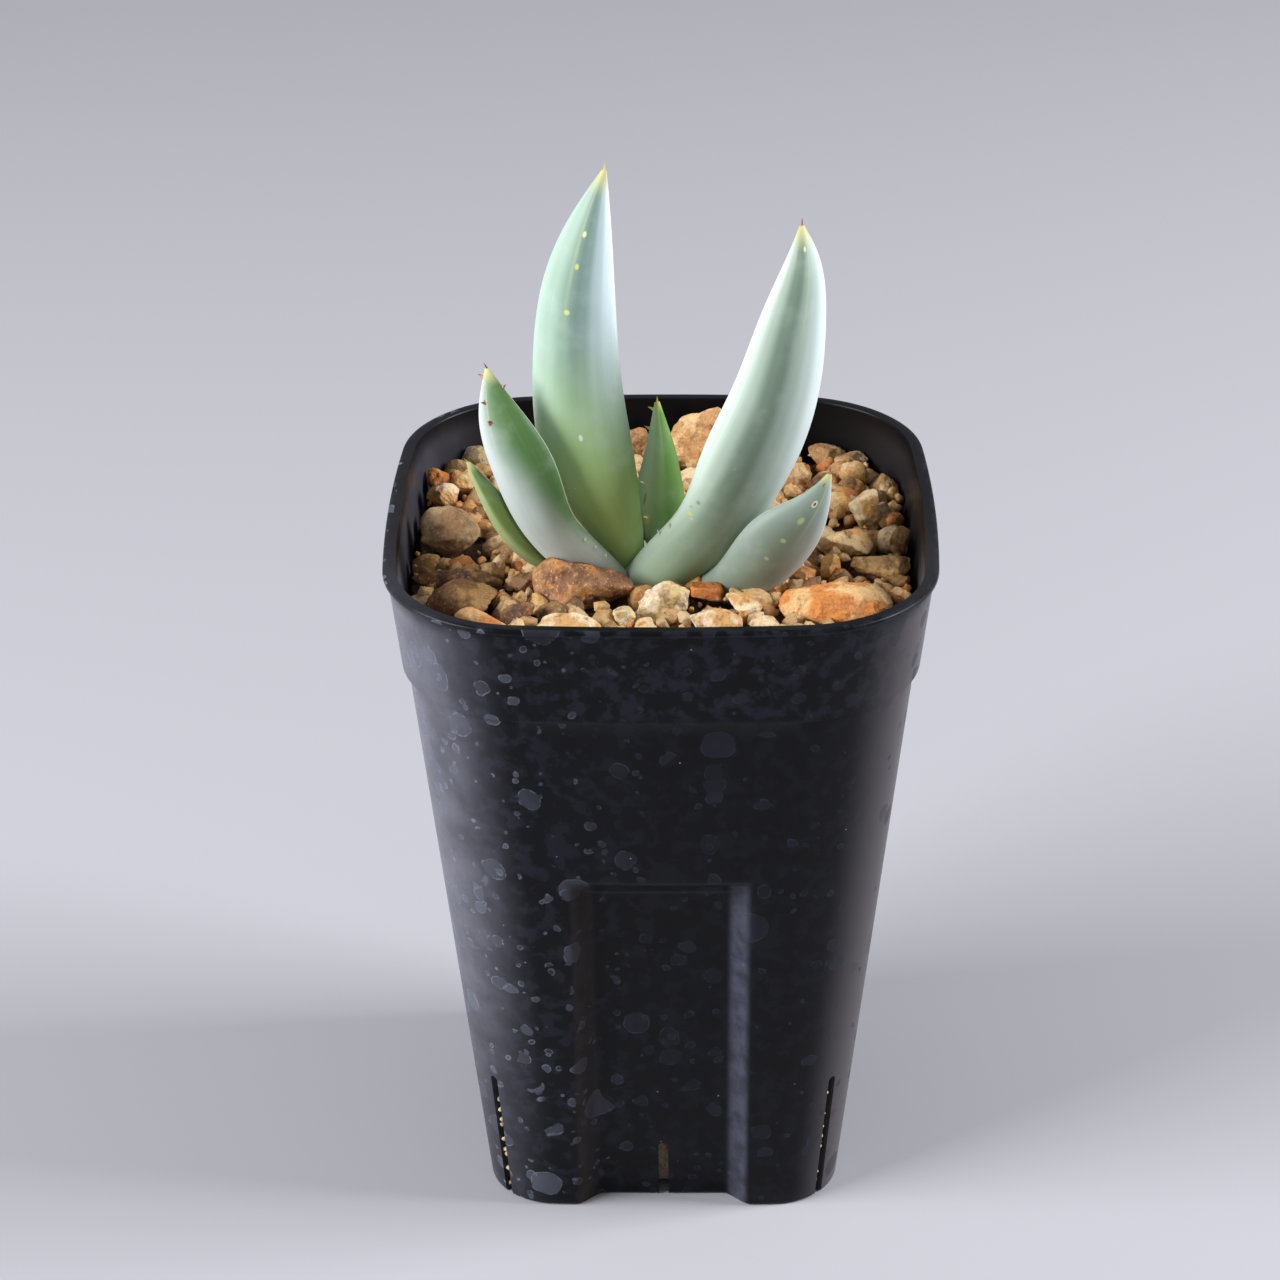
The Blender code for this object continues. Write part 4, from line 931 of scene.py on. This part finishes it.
swollen_leaves = {}
for name, (facing, curl, stations) in LEAVES.items():
    skin, centre, forward = leaf_surface(stations, facing, curl, ALONG, AROUND)
    leaf = new_mesh("fine_" + name, *closed_leaf(skin), LEAF_FINISHES[name])
    leaf_map(leaf, ALONG, AROUND)
    for swollen in swollen_leaves.values():
        cut(leaf, new_mesh("swollen_leaf", *closed_leaf(swollen)))
    swollen_leaves[name] = leaf_surface(stations, facing, curl, CUT_ALONG, CUT_AROUND, GAP)[0]
    spine_finish = BROWN_SPINE if name in BROWN_SPINED else YELLOW_SPINE
    leaf.data.materials.append(spine_finish)
    leaf.data.materials.append(PALE_SPINE)
    for spine in SPINES[name]:
        rings = spine_skin(skin, centre, forward, *spine)
        thorn = new_mesh("spine", *closed_skin(rings), spine_finish if spine[0] > 0.8 else PALE_SPINE)
        leaf_map(thorn, SPINE_ROWS, SPINE_SIDES)
        cut(leaf, thorn, "UNION")
    leaf.data.shade_smooth()
    leaf.data.set_sharp_from_angle(angle=math.radians(50))
    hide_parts(name)
    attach(leaf, "root")
    print(name, "faces:", len(leaf.data.polygons), "materials:", [m.name for m in leaf.data.materials])

# %% [markdown]
# ## Stones
#
# Succulents are planted in sharp crushed grit. A stone is a block with a dozen random flat cuts whose
# corners have worn: its radius in a direction is a soft maximum over the cuts. The same seeded cuts
# shape the CAD stones, so the finer ones lie where those do. Their corners are a little sharper, and
# layered waves add pits and small steps.


# %% Stone surface
STONE_SEED = 5
STONES = {
    "tan_left": (-30.1, 2.4, 94.2, 4.9, 3.6, 4.0, 0, "tan_stone"),
    "orange_far_left": (-32.4, 20.8, 93.7, 1.9, 1.7, 2.3, 0, "orange_stone"),
    "cream_left": (-30.9, 15.7, 93.6, 2.6, 2.3, 2.0, 0, "cream_stone"),
    "ochre_left": (-28.3, 19.5, 93.8, 2.1, 1.9, 2.5, 0, "ochre_stone"),
    "grey_back_left": (-28.7, 31.7, 93.6, 2.8, 2.2, 2.0, 0, "grey_stone"),
    "flat_long_left": (-26.9, -9.3, 93.5, 7.2, 2.3, 1.8, -8, "brown_stone"),
    "olive_left": (-27.2, -16.9, 93.8, 5.3, 3.7, 2.7, 0, "olive_stone"),
    "orange_front_left": (-24.0, -22.8, 93.6, 4.1, 2.3, 2.1, -12, "orange_stone"),
    "brown_mid_left": (-18.9, -20.3, 93.7, 2.5, 2.2, 2.4, 0, "brown_stone"),
    "brown_small_left": (-17.8, -10.1, 93.5, 2.4, 2.2, 1.6, 0, "brown_stone"),
    "brown_front": (-10.8, -12.9, 94.2, 7.0, 4.3, 4.0, 0, "brown_stone"),
    "grey_square_front": (0.4, -17.7, 94.1, 3.7, 3.0, 3.6, 0, "grey_stone"),
    "orange_small_front": (6.1, -13.2, 93.4, 2.4, 1.9, 1.3, 0, "orange_stone"),
    "cream_front_left": (-12.3, -23.9, 93.7, 5.0, 3.2, 2.2, 0, "cream_stone"),
    "cream_front_right": (6.9, -22.8, 93.7, 4.0, 2.8, 2.4, 0, "cream_stone"),
    "cream_small_front": (11.5, -16.9, 93.6, 2.8, 2.5, 1.9, 0, "cream_stone"),
    "cream_low_right": (14.2, -23.6, 93.4, 2.6, 2.1, 1.4, 0, "cream_stone"),
    "grey_small_front": (-4.7, -20.7, 93.5, 1.7, 1.6, 1.5, 0, "grey_stone"),
    "orange_big_right": (23.2, -18.4, 94.1, 7.6, 4.7, 3.5, 0, "orange_stone"),
    "flat_oval_right": (30.2, -6.2, 93.6, 4.5, 2.7, 2.0, 5, "olive_stone"),
    "amber_upright_right": (23.2, -6.3, 93.7, 1.6, 1.4, 2.2, 0, "ochre_stone"),
    "rusty_right": (19.5, -7.8, 93.4, 2.3, 2.1, 1.4, 0, "orange_stone"),
    "orange_crumbly_right": (25.4, 0.4, 93.7, 3.9, 2.7, 2.2, 0, "ochre_stone"),
    "cream_orange_right": (28.5, 10.4, 94.1, 2.4, 2.1, 3.5, 0, "cream_stone"),
    "ochre_right": (25.0, 13.0, 93.7, 1.9, 1.7, 2.2, 0, "ochre_stone"),
    "white_orange_back_right": (26.9, 22.6, 93.7, 2.6, 2.3, 2.4, 0, "cream_stone"),
    "tan_back_right": (30.5, 31.4, 93.4, 2.8, 2.3, 1.3, 0, "tan_stone"),
    "pink_back": (24.0, 31.5, 93.5, 3.2, 2.6, 1.8, 0, "tan_stone"),
    "peach_behind_leaf": (19.0, 20.9, 94.1, 2.9, 2.3, 3.6, 0, "tan_stone"),
    "olive_far_right": (33.0, 1.2, 93.7, 1.5, 1.7, 2.3, 0, "olive_stone"),
    "tan_back_left": (-3.7, 32.8, 93.9, 2.6, 1.7, 2.7, 0, "tan_stone"),
    "big_back": (6.7, 30.6, 95.2, 5.6, 3.9, 6.3, 0, "tan_stone"),
}


def round_directions(rows, columns):
    """Directions on a ball as a grid: rows of latitude round the x axis, and columns of longitude."""
    latitude = np.linspace(0.0, math.pi, rows + 2)[1:-1, None]
    longitude = np.linspace(0.0, 2 * math.pi, columns, endpoint=False)[None, :]
    across = np.sin(latitude)
    parts = [-np.cos(latitude) + 0 * longitude, across * np.cos(longitude), across * np.sin(longitude)]
    return np.stack(parts, axis=-1)


STONE_SHARPNESS, CHIP_SHARPNESS = 24, 20
LEAST_CUT, LONGEST = 1e-4, 1.35  # these keep the radius finite where no cut faces a direction


def worn_block(directions, reach, sharpness):
    """Points at a radius (sum over cuts of (cosine / height)^n)^(-1/n), where n is the sharpness."""
    radius = (np.sum(reach**sharpness, axis=-1) + LEAST_CUT) ** (-1 / sharpness)
    return directions * np.minimum(radius, LONGEST)[..., None]


def stone_points(rng, directions, sizes, turn):
    """A block with twelve random cuts, scaled to the stone's half sizes and turned in degrees."""
    normals = rng.normal(size=(12, 3))
    normals /= np.linalg.norm(normals, axis=1)[:, None]
    heights = rng.uniform(0.72, 1.0, 12)
    reach = np.maximum(directions @ normals.T, 0.0) / heights
    points = worn_block(directions, reach, STONE_SHARPNESS)
    points = points / np.abs(points).reshape(-1, 3).max(axis=0) * sizes
    cos, sin = math.cos(math.radians(turn)), math.sin(math.radians(turn))
    return points @ np.array([[cos, sin, 0], [-sin, cos, 0], [0, 0, 1]])


def keep_inside(points, inset):
    """Pulls points back until they lie `inset` inside the collar's outer skin."""
    points = np.array(points, float)
    corner = COLLAR_CORNER - inset
    straight = collar_half(points[..., 2]) - inset - corner - 0.5
    past = np.abs(points[..., :2]) - straight[..., None]
    reach = np.maximum(past, 0.0)
    length = np.hypot(reach[..., 0], reach[..., 1])
    scale = np.where(length > corner, corner / np.maximum(length, 1e-9), 1.0)
    held = np.sign(points[..., :2]) * (straight[..., None] + reach * scale[..., None])
    points[..., :2] = np.where(past > 0, held, points[..., :2])
    return points


def waves(rng, points, length, count=9):
    """Lumpy noise: a sum of sines along random directions, each about `length` mm long, bent by another."""
    turns = rng.normal(size=(count, 3))
    turns *= (2 * math.pi / length / np.linalg.norm(turns, axis=1) * rng.uniform(0.7, 1.4, count))[:, None]
    phases = rng.uniform(0, 2 * math.pi, count)
    bent = points + 0.12 * length * np.sin(points[..., [1, 2, 0]] * (4.0 / length) + 1.0)
    return np.sin(bent @ turns.T + phases).sum(axis=-1) / math.sqrt(count)


def roughened(rng, points, middle, depth, length):
    """Pits and steps: the points move along the line from the stone's middle by layered waves."""
    away = points - middle
    away /= np.linalg.norm(away, axis=-1)[..., None]
    rough = 0.0
    for share, strength in ((1.0, 1.0), (0.45, 0.5), (0.2, 0.25)):
        rough = rough + strength * waves(rng, points, length * share)
    return points + away * (depth * np.clip(rough, -2.2, 1.0))[..., None]


def placed_stones(directions):
    """Each stone of the table where the CAD has it: held off the wall and shaved where two would meet."""
    rng = np.random.default_rng(STONE_SEED)
    stones = {}
    for name, (x, y, z, a, b, c, turn, _) in STONES.items():
        middle = keep_inside([(x, y, z)], WALL + GAP + 0.8 * min(a, b))[0]
        stones[name] = keep_inside(stone_points(rng, directions, (a, b, c), turn) + middle, WALL + 2 * GAP)
    names = list(stones)
    for first in range(len(names)):
        for second in range(first + 1, len(names)):
            one, other = stones[names[first]], stones[names[second]]
            line = other.reshape(-1, 3).mean(axis=0) - one.reshape(-1, 3).mean(axis=0)
            line /= np.linalg.norm(line)
            front, back = (one @ line).max(), (other @ line).min()
            if front + GAP > back:
                middle = (front + back) / 2
                too_far = np.maximum(one @ line - (middle - GAP / 2), 0.0)
                too_near = np.maximum(middle + GAP / 2 - other @ line, 0.0)
                stones[names[first]] = one - too_far[..., None] * line
                stones[names[second]] = other + too_near[..., None] * line
    return stones


print("stones:", len(STONES))

# %% [markdown]
# ## Stone finish
#
# The grit is weathered granite. Each kind of stone has a main colour, a second one that comes in
# patches, smaller patches of rust, pale grains of quartz and dark ones of mica. A stone that is darker or
# paler than its kind has a shade stored on its mesh, which is partly its own tone and partly painted light
# and shade, and each grain of the grit has a tint of its own. The soil between the grains is paler low
# down, where the slits show it. Fine bumps make the broken faces look rough.


# %% Stone finish
def make_stone_finish(name, main, second, rust, kind="stone"):
    """`kind` is "stone", with a shade on each mesh, "grit", with a tint on each grain, or "soil"."""
    material, tree, shader, place = finish(name, 0.62, 0.35)
    patch = between(tree, speckle(tree, place, 0.20, 4.0, 0.6), 0.45, 0.56)
    if kind == "grit":
        main = add(tree, "Attribute", attribute_name="tint").outputs["Color"]
        patch = times(tree, patch, 0.35)
    colour = blend(tree, patch, main, second)
    stain = between(tree, speckle(tree, place, 0.55, 5.0, 0.65), 0.52, 0.68, 0.0, 0.75)
    colour = blend(tree, stain, colour, rust)
    if kind == "soil":
        low = between(tree, add(tree, "SeparateXYZ", {0: place}).outputs[2], 60.0, 30.0, 0.0, 0.4)
        colour = blend(tree, low, colour, blend(tree, stain, (0.72, 0.58, 0.42), (0.42, 0.20, 0.07)))
    grain = speckle(tree, place, 2.6, 4.0, 0.7)
    colour = blend(tree, between(tree, grain, 0.55, 0.75, 0.0, 0.5), colour, (0.80, 0.68, 0.50))
    colour = blend(tree, between(tree, grain, 0.45, 0.28, 0.0, 0.65), colour, (0.09, 0.05, 0.025))
    # The stored shade is partly the stone's own tone and partly painted light and shade.
    if kind == "stone":
        shade = add(tree, "Attribute", attribute_name="shade").outputs["Color"]
        colour = blend(tree, 1.0, colour, shade, mode="MULTIPLY")
    tree.links.new(colour, shader.inputs["Base Color"])
    sockets = {"Vector": place, "Scale": 0.42, "Detail": 1.0, "Roughness": 0.4, "Randomness": 1.0}
    chips = add(tree, "TexVoronoi", sockets)
    height = maths(tree, "ADD", times(tree, chips.outputs["Distance"], 0.9), times(tree, grain, 0.22))
    height = maths(tree, "ADD", height, times(tree, speckle(tree, place, 0.9, 4.0, 0.6), 0.35))
    bump(tree, shader, height, 1.0, 0.75)
    return material


STONE_COLOURS = {  # the main colour, the second one and the rust of each kind
    "tan_stone": ((0.58, 0.37, 0.18), (0.40, 0.21, 0.08), (0.20, 0.08, 0.03)),
    "cream_stone": ((0.80, 0.62, 0.40), (0.62, 0.34, 0.12), (0.26, 0.09, 0.03)),
    "orange_stone": ((0.58, 0.19, 0.04), (0.66, 0.38, 0.16), (0.30, 0.08, 0.02)),
    "ochre_stone": ((0.62, 0.34, 0.10), (0.72, 0.50, 0.24), (0.36, 0.12, 0.03)),
    "brown_stone": ((0.24, 0.12, 0.05), (0.12, 0.055, 0.03), (0.46, 0.18, 0.03)),
    "grey_stone": ((0.60, 0.49, 0.33), (0.48, 0.35, 0.16), (0.20, 0.09, 0.03)),
    "olive_stone": ((0.34, 0.19, 0.07), (0.17, 0.08, 0.025), (0.10, 0.04, 0.012)),
}
STONE_FINISHES = {
    slot: make_stone_finish(slot.replace("stone", "granite"), *colours)
    for slot, colours in STONE_COLOURS.items()
}
GRIT_FINISH = make_stone_finish("grit_granite", None, (0.58, 0.34, 0.14), (0.20, 0.075, 0.02), "grit")
SOIL_COLOURS = ((0.07, 0.034, 0.016), (0.13, 0.065, 0.03), (0.04, 0.018, 0.008))
SOIL_FINISH = make_stone_finish("fine_soil", *SOIL_COLOURS, "soil")
print("stone finishes:", len(STONE_FINISHES) + 2)

# %% [markdown]
# ## The stones of the photo
#
# The larger stones that the photo shows one by one are separate pieces. Where one leans on a leaf, it is
# cut clear of it, as its solid is.


# %% Stones
STONE_GRID = (48, 66)
# These shades are partly each stone's own tone, partly painted light on stones the windows lit brightly and
# painted shade on those the pot's left wall shaded.
STONE_TONES_AND_LIGHT = {  # stones that are darker or paler than others of their kind
    "tan_left": (0.72, 0.75, 0.82),
    "olive_left": (0.95, 0.9, 0.8),
    "brown_front": (1.8, 1.75, 1.6),
    "grey_square_front": (1.35, 1.35, 1.4),
    "grey_small_front": (1.2, 1.2, 1.2),
    "orange_big_right": (1.15, 1.25, 1.25),
    "flat_oval_right": (2.0, 2.1, 2.2),
    "big_back": (1.4, 1.4, 1.4),
}
EVEN_SHADE = (1.0, 1.0, 1.0)


def boxes_meet(one, other):
    """Whether the boxes round two sets of points overlap."""
    one, other = one.reshape(-1, 3), other.reshape(-1, 3)
    return np.all(one.min(axis=0) < other.max(axis=0)) and np.all(one.max(axis=0) > other.min(axis=0))


rough_rng = np.random.default_rng(21)
for name, points in placed_stones(round_directions(*STONE_GRID)).items():
    middle = points.reshape(-1, 3).mean(axis=0)
    size = np.ptp(points.reshape(-1, 3), axis=0).mean()
    points = roughened(rough_rng, points, middle, 0.015 * size, 0.36 * size)
    slot = STONES[name][7]
    stone = new_mesh("granite_" + name, *closed_skin(points), STONE_FINISHES[slot])
    paint(stone, "shade", np.tile(STONE_TONES_AND_LIGHT.get(name, EVEN_SHADE), (len(stone.data.vertices), 1)))
    for swollen in swollen_leaves.values():
        if boxes_meet(points, swollen):
            cut(stone, new_mesh("swollen_leaf", *closed_leaf(swollen)))
    stone.data.shade_smooth()
    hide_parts("stone_" + name)
    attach(stone, "root")
print("stones dressed:", len(STONES))

# %% [markdown]
# ## The grit
#
# The pot is full of the same grit in smaller sizes. The grit bed is made of a lumpy body that fills the
# pot, the same grains as the CAD bed has fused on its top, and then smaller chips and crumbs between
# them. All chips share one small grid of directions, so each has only a few dozen faces, and all are
# worked out in one array.


# %% Grit
BED_TOP, BED_SEED = 91.7, 11
GRAIN_SPACING, GRAIN_HALF, GRAIN_RISE = 5.1, (2.1, 2.9), 0.5
ROW_STEP = GRAIN_SPACING * 0.866
FOOT_X, FOOT_Y, FOOT_RADIUS = -3.0, -6.5, 6.0  # the foot of the leaves, which is kept free of grains
TINTS = np.array([
    (0.58, 0.35, 0.15), (0.75, 0.54, 0.30), (0.58, 0.28, 0.08), (0.56, 0.19, 0.04), (0.30, 0.15, 0.05),
    (0.48, 0.33, 0.16), (0.18, 0.085, 0.03), (0.66, 0.39, 0.14),
])
TINT_SHARES = (0.24, 0.18, 0.16, 0.09, 0.10, 0.08, 0.05, 0.10)


def under_stone(x, y, margin):
    """Whether a place lies under one of the larger stones, seen from above."""
    under = False
    for sx, sy, _, a, b, _, turn, _ in STONES.values():
        cos, sin = math.cos(math.radians(turn)), math.sin(math.radians(turn))
        u = ((x - sx) * cos + (y - sy) * sin) / (a + margin)
        v = ((y - sy) * cos - (x - sx) * sin) / (b + margin)
        under = under | (u * u + v * v < 1)
    return under


def from_foot(x, y):
    """Distance of a place from the middle of the foot of the leaves."""
    return np.hypot(x - FOOT_X, y - FOOT_Y)


def grain_places():
    """The same centres, half sizes and turns as the grains of the CAD bed: a jittered triangular grid."""
    rng = np.random.default_rng(BED_SEED)
    places = []
    rows = int(LIP_HALF / ROW_STEP) + 1
    columns = int(LIP_HALF / GRAIN_SPACING) + 1
    for row in range(-rows, rows + 1):
        for column in range(-columns, columns + 1):
            x = (column + (row % 2) / 2) * GRAIN_SPACING + rng.uniform(-0.8, 0.8)
            y = row * ROW_STEP + rng.uniform(-0.8, 0.8)
            sizes = rng.uniform(*GRAIN_HALF, 3) * (1.0, 1.0, 0.85)
            z = BED_TOP + GRAIN_RISE + rng.uniform(-0.3, 0.3)
            turn = rng.uniform(0, 180)
            held = keep_inside([(x, y, z)], WALL + GAP + sizes[0] * 0.8)[0]
            if np.hypot(held[0] - x, held[1] - y) > 1.5:
                continue
            x, y = held[:2]
            if from_foot(x, y) >= FOOT_RADIUS and not under_stone(x, y, 0.9):
                places.append((x, y, z, sizes, turn))
    return places


def many_chips(rng, directions, centres, sizes):
    """Chips like the stones, all in one array: each has ten random cuts and a random turn."""
    count = len(centres)
    normals = rng.normal(size=(count, 10, 3))
    normals /= np.linalg.norm(normals, axis=-1)[..., None]
    heights = rng.uniform(0.65, 1.0, (count, 10))
    reach = np.maximum(np.einsum("rcx,nkx->nrck", directions, normals), 0.0) / heights[:, None, None, :]
    points = worn_block(directions[None], reach, CHIP_SHARPNESS)
    frames = np.linalg.qr(rng.normal(size=(count, 3, 3)))[0]
    points = np.einsum("nrcx,nx,nxy->nrcy", points, sizes, frames)
    return points + centres[:, None, None, :]


def joined_grids(name, grids, tints):
    """One mesh of many closed grids of one size, with a tint for each."""
    count = len(grids)
    points, faces = closed_skin(grids[0])
    size = len(points)
    ends = [grids[:, :1].mean(axis=2), grids[:, -1:].mean(axis=2)]
    all_points = np.concatenate([grids.reshape(count, -1, 3), *ends], axis=1)
    step = (np.arange(count) * size)[:, None, None]
    all_faces = [(face[None] + step).reshape(-1, face.shape[1]) for face in faces]
    obj = new_mesh(name, all_points, all_faces, GRIT_FINISH)
    paint(obj, "tint", np.repeat(tints, size, axis=0))
    return obj


def pick_tints(rng, count):
    """A random tint for each of `count` grains, each a little darker or paler."""
    shades = TINTS[rng.choice(len(TINTS), count, p=TINT_SHARES)]
    return shades * rng.uniform(0.75, 1.15, (count, 1))


def put_on_bed(obj):
    """Every piece of the grit stands for the CAD's grit bed."""
    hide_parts("grit_bed")
    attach(obj, "root")


def soil_rings():
    """A body that fills the pot up to the bed: wall rings, then rings that shrink toward the middle."""
    heights = np.linspace(FLOOR + GAP, BED_TOP - 0.9, 60)
    wall = np.array([wall_ring(z, WALL + GAP + 0.15)[::2] for z in heights])
    shares = np.linspace(1.0, 0.02, 40)[1:, None, None]
    top = wall[-1] * np.concatenate([shares, shares, shares * 0 + 1], axis=-1)
    return wall, top


soil_rng = np.random.default_rng(31)
wall, top = soil_rings()
lumps = waves(soil_rng, wall, 4.2) + 0.6 * waves(soil_rng, wall, 2.1)
inward = -wall * (1.0, 1.0, 0.0) / np.hypot(wall[..., 0], wall[..., 1])[..., None]
wall = wall + inward * (0.35 + 0.3 * np.clip(lumps, -1, 1.5))[..., None]
top[..., 2] += 0.45 * waves(soil_rng, top, 3.1) + 0.2 * waves(soil_rng, top, 1.3)
soil = new_mesh("fine_soil", *closed_skin(np.concatenate([wall, top])), SOIL_FINISH)
put_on_bed(soil)

grain_rng = np.random.default_rng(BED_SEED + 1)
grain_directions = round_directions(14, 20)
grains = []
for x, y, z, sizes, turn in grain_places():
    points = stone_points(grain_rng, grain_directions, sizes, turn) + (x, y, z)
    grains.append(keep_inside(points, WALL + GAP))
grains = np.array(grains)
middles = grains.mean(axis=(1, 2), keepdims=True)
grains = roughened(np.random.default_rng(33), grains, middles, 0.09, 1.9)
put_on_bed(joined_grids("coarse_grit", grains, pick_tints(soil_rng, len(grains))))
print("coarse grains:", len(grains))

# %% [markdown]
# ## Chips and crumbs
#
# Between the grains lie chips two or three millimetres across and crumbs of about one. Their places are
# random, but none has its middle well under a larger stone or in the foot of the leaves.


# %% Chips and crumbs
def scattered(rng, count, low, high, rise):
    """Random places on the bed and three random half sizes for each."""
    places = rng.uniform(-35.0, 35.0, (count, 2))
    sizes = rng.uniform(low, high, (count, 1)) * rng.uniform(0.7, 1.25, (count, 3))
    heights = BED_TOP + rng.uniform(*rise, (count, 1))
    centres = np.concatenate([places, heights], axis=1)
    held = keep_inside(centres, WALL + 1.2 * high)
    x, y = held[:, 0], held[:, 1]
    on_bed = np.hypot(*(held - centres)[:, :2].T) < 0.5
    keep = on_bed & (from_foot(x, y) >= FOOT_RADIUS - 1.0) & ~under_stone(x, y, -0.4)
    return held[keep], sizes[keep]


chip_rng = np.random.default_rng(41)
chip_directions = round_directions(5, 8)
for name, count, low, high, rise in (
    ("fine_chips", 620, 0.9, 1.6, (0.2, 1.6)),
    ("crumbs", 600, 0.3, 0.7, (0.5, 1.7)),
):
    centres, sizes = scattered(chip_rng, count, low, high, rise)
    chips = many_chips(chip_rng, chip_directions, centres, sizes)
    put_on_bed(joined_grids(name, chips, pick_tints(chip_rng, len(chips))))
    print(name, len(chips))

# %% [markdown]
# ## Grains caught in the corner slits
#
# Water washes small grains into the tall corner slits, and in the photo they show there as pale and
# orange specks. Each sits in the thickness of the wall or just behind it, where the corner is farthest
# out along its diagonal. The grains are narrower than the slit, though a few press into its sides.


# %% Slit grains
SLIT_GRAIN_INSETS, SLIT_GRAIN_HALF, SLIT_GRAIN_SHARE = (0.75, 1.5), (0.36, 0.47), 0.45
SLIT_TINTS = np.array([(0.86, 0.79, 0.68), (0.74, 0.62, 0.46), (0.48, 0.24, 0.10)])
slit_rng = np.random.default_rng(43)
grain_heights = np.linspace(1.5, CORNER_SLIT_HEIGHT - 1.2, 22)
diagonals = np.array([(1, 1, 0), (-1, 1, 0), (-1, -1, 0), (1, -1, 0)])
caught = []
for inset in SLIT_GRAIN_INSETS:
    rings = np.array([wall_ring(z, inset) for z in grain_heights])
    farthest = np.argmax(rings @ diagonals.T, axis=1)[..., None]
    caught.append(np.take_along_axis(rings, farthest, axis=1).reshape(-1, 3))
caught = np.concatenate(caught)
caught = caught[slit_rng.random(len(caught)) < SLIT_GRAIN_SHARE]
sizes = slit_rng.uniform(*SLIT_GRAIN_HALF, (len(caught), 3))
slit_grains = many_chips(slit_rng, chip_directions, caught, sizes)
shades = SLIT_TINTS[slit_rng.choice(3, len(caught), p=(0.6, 0.2, 0.2))]
put_on_bed(joined_grids("slit_grains", slit_grains, shades))
print("grains in the slits:", len(caught))

# %% [markdown]
# ## The stem
#
# The stem and its roots are under the grit and stay as the CAD made them. They still get a finish of
# their own, pale and fibrous, as a root is.


# %% Stem finish
def make_stem_finish():
    """Pale fibres that run up and down."""
    material, tree, shader, place = finish("pale_root", 0.7, 0.3)
    stretched = add(tree, "Mapping", {"Vector": place, "Scale": (2.0, 2.0, 0.3)})
    fibre = speckle(tree, stretched.outputs[0], 1.2)
    colour = blend(tree, between(tree, fibre, 0.35, 0.7), (0.42, 0.36, 0.20), (0.55, 0.56, 0.34))
    tree.links.new(colour, shader.inputs["Base Color"])
    bump(tree, shader, fibre, 0.1, 0.5)
    return material


stem_finish = make_stem_finish()
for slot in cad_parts["stem"].material_slots:
    slot.material = stem_finish
print("stem finished")

# %% [markdown]
# ## Floor and light
#
# The plant stands on a plain pale floor. In the photo, soft daylight falls from windows at the left and
# the right. It lights the flanks of the leaves and runs down the sides of the pot, while the middle that
# faces the camera stays dark. Two large soft lamps stand in for the windows, and a pale room for the rest.


# %% Floor and light
FLOOR_HALF = 6000.0
SOFT_WHITE = (0.97, 0.99, 1.0)


def make_floor():
    """One large square at height 0, in a matt and slightly cool grey."""
    corners = np.array([(-1, -1, 0), (1, -1, 0), (1, 1, 0), (-1, 1, 0)]) * FLOOR_HALF
    floor = new_mesh("floor", corners, [np.array([[0, 1, 2, 3]])], smooth=False)
    material = bpy.data.materials.new("pale_floor")
    material.use_nodes = True
    shader = material.node_tree.nodes["Principled BSDF"]
    shader.inputs["Base Color"].default_value = (0.46, 0.455, 0.49, 1.0)
    shader.inputs["Roughness"].default_value = 0.9
    shader.inputs["Specular IOR Level"].default_value = 0.1
    floor.data.materials.append(material)


def area_light(name, place, target, width, height, power, colour):
    """A soft rectangular lamp at `place` that faces `target`, both in mm."""
    data = bpy.data.lights.new(name, "AREA")
    data.shape = "RECTANGLE"
    data.size = width * MM
    data.size_y = height * MM
    data.energy = power
    data.color = colour
    lamp = bpy.data.objects.new(name, data)
    lamp.location = Vector(place) * MM
    lamp.rotation_euler = (Vector(target) - Vector(place)).to_track_quat("-Z", "Y").to_euler()
    bpy.context.scene.collection.objects.link(lamp)


make_floor()
MIDDLE = (0.0, 0.0, 100.0)
area_light("left_window", (-834, -337, 560), MIDDLE, 600, 450, 14.0, SOFT_WHITE)
area_light("right_window", (900, -20, 580), MIDDLE, 400, 450, 13.0, SOFT_WHITE)
world = bpy.data.worlds.new("soft_room")
world.use_nodes = True
background = world.node_tree.nodes["Background"]
background.inputs["Color"].default_value = (0.60, 0.595, 0.65, 1.0)
background.inputs["Strength"].default_value = 0.47
bpy.context.scene.world = world
bpy.context.scene.view_settings.view_transform = "Standard"
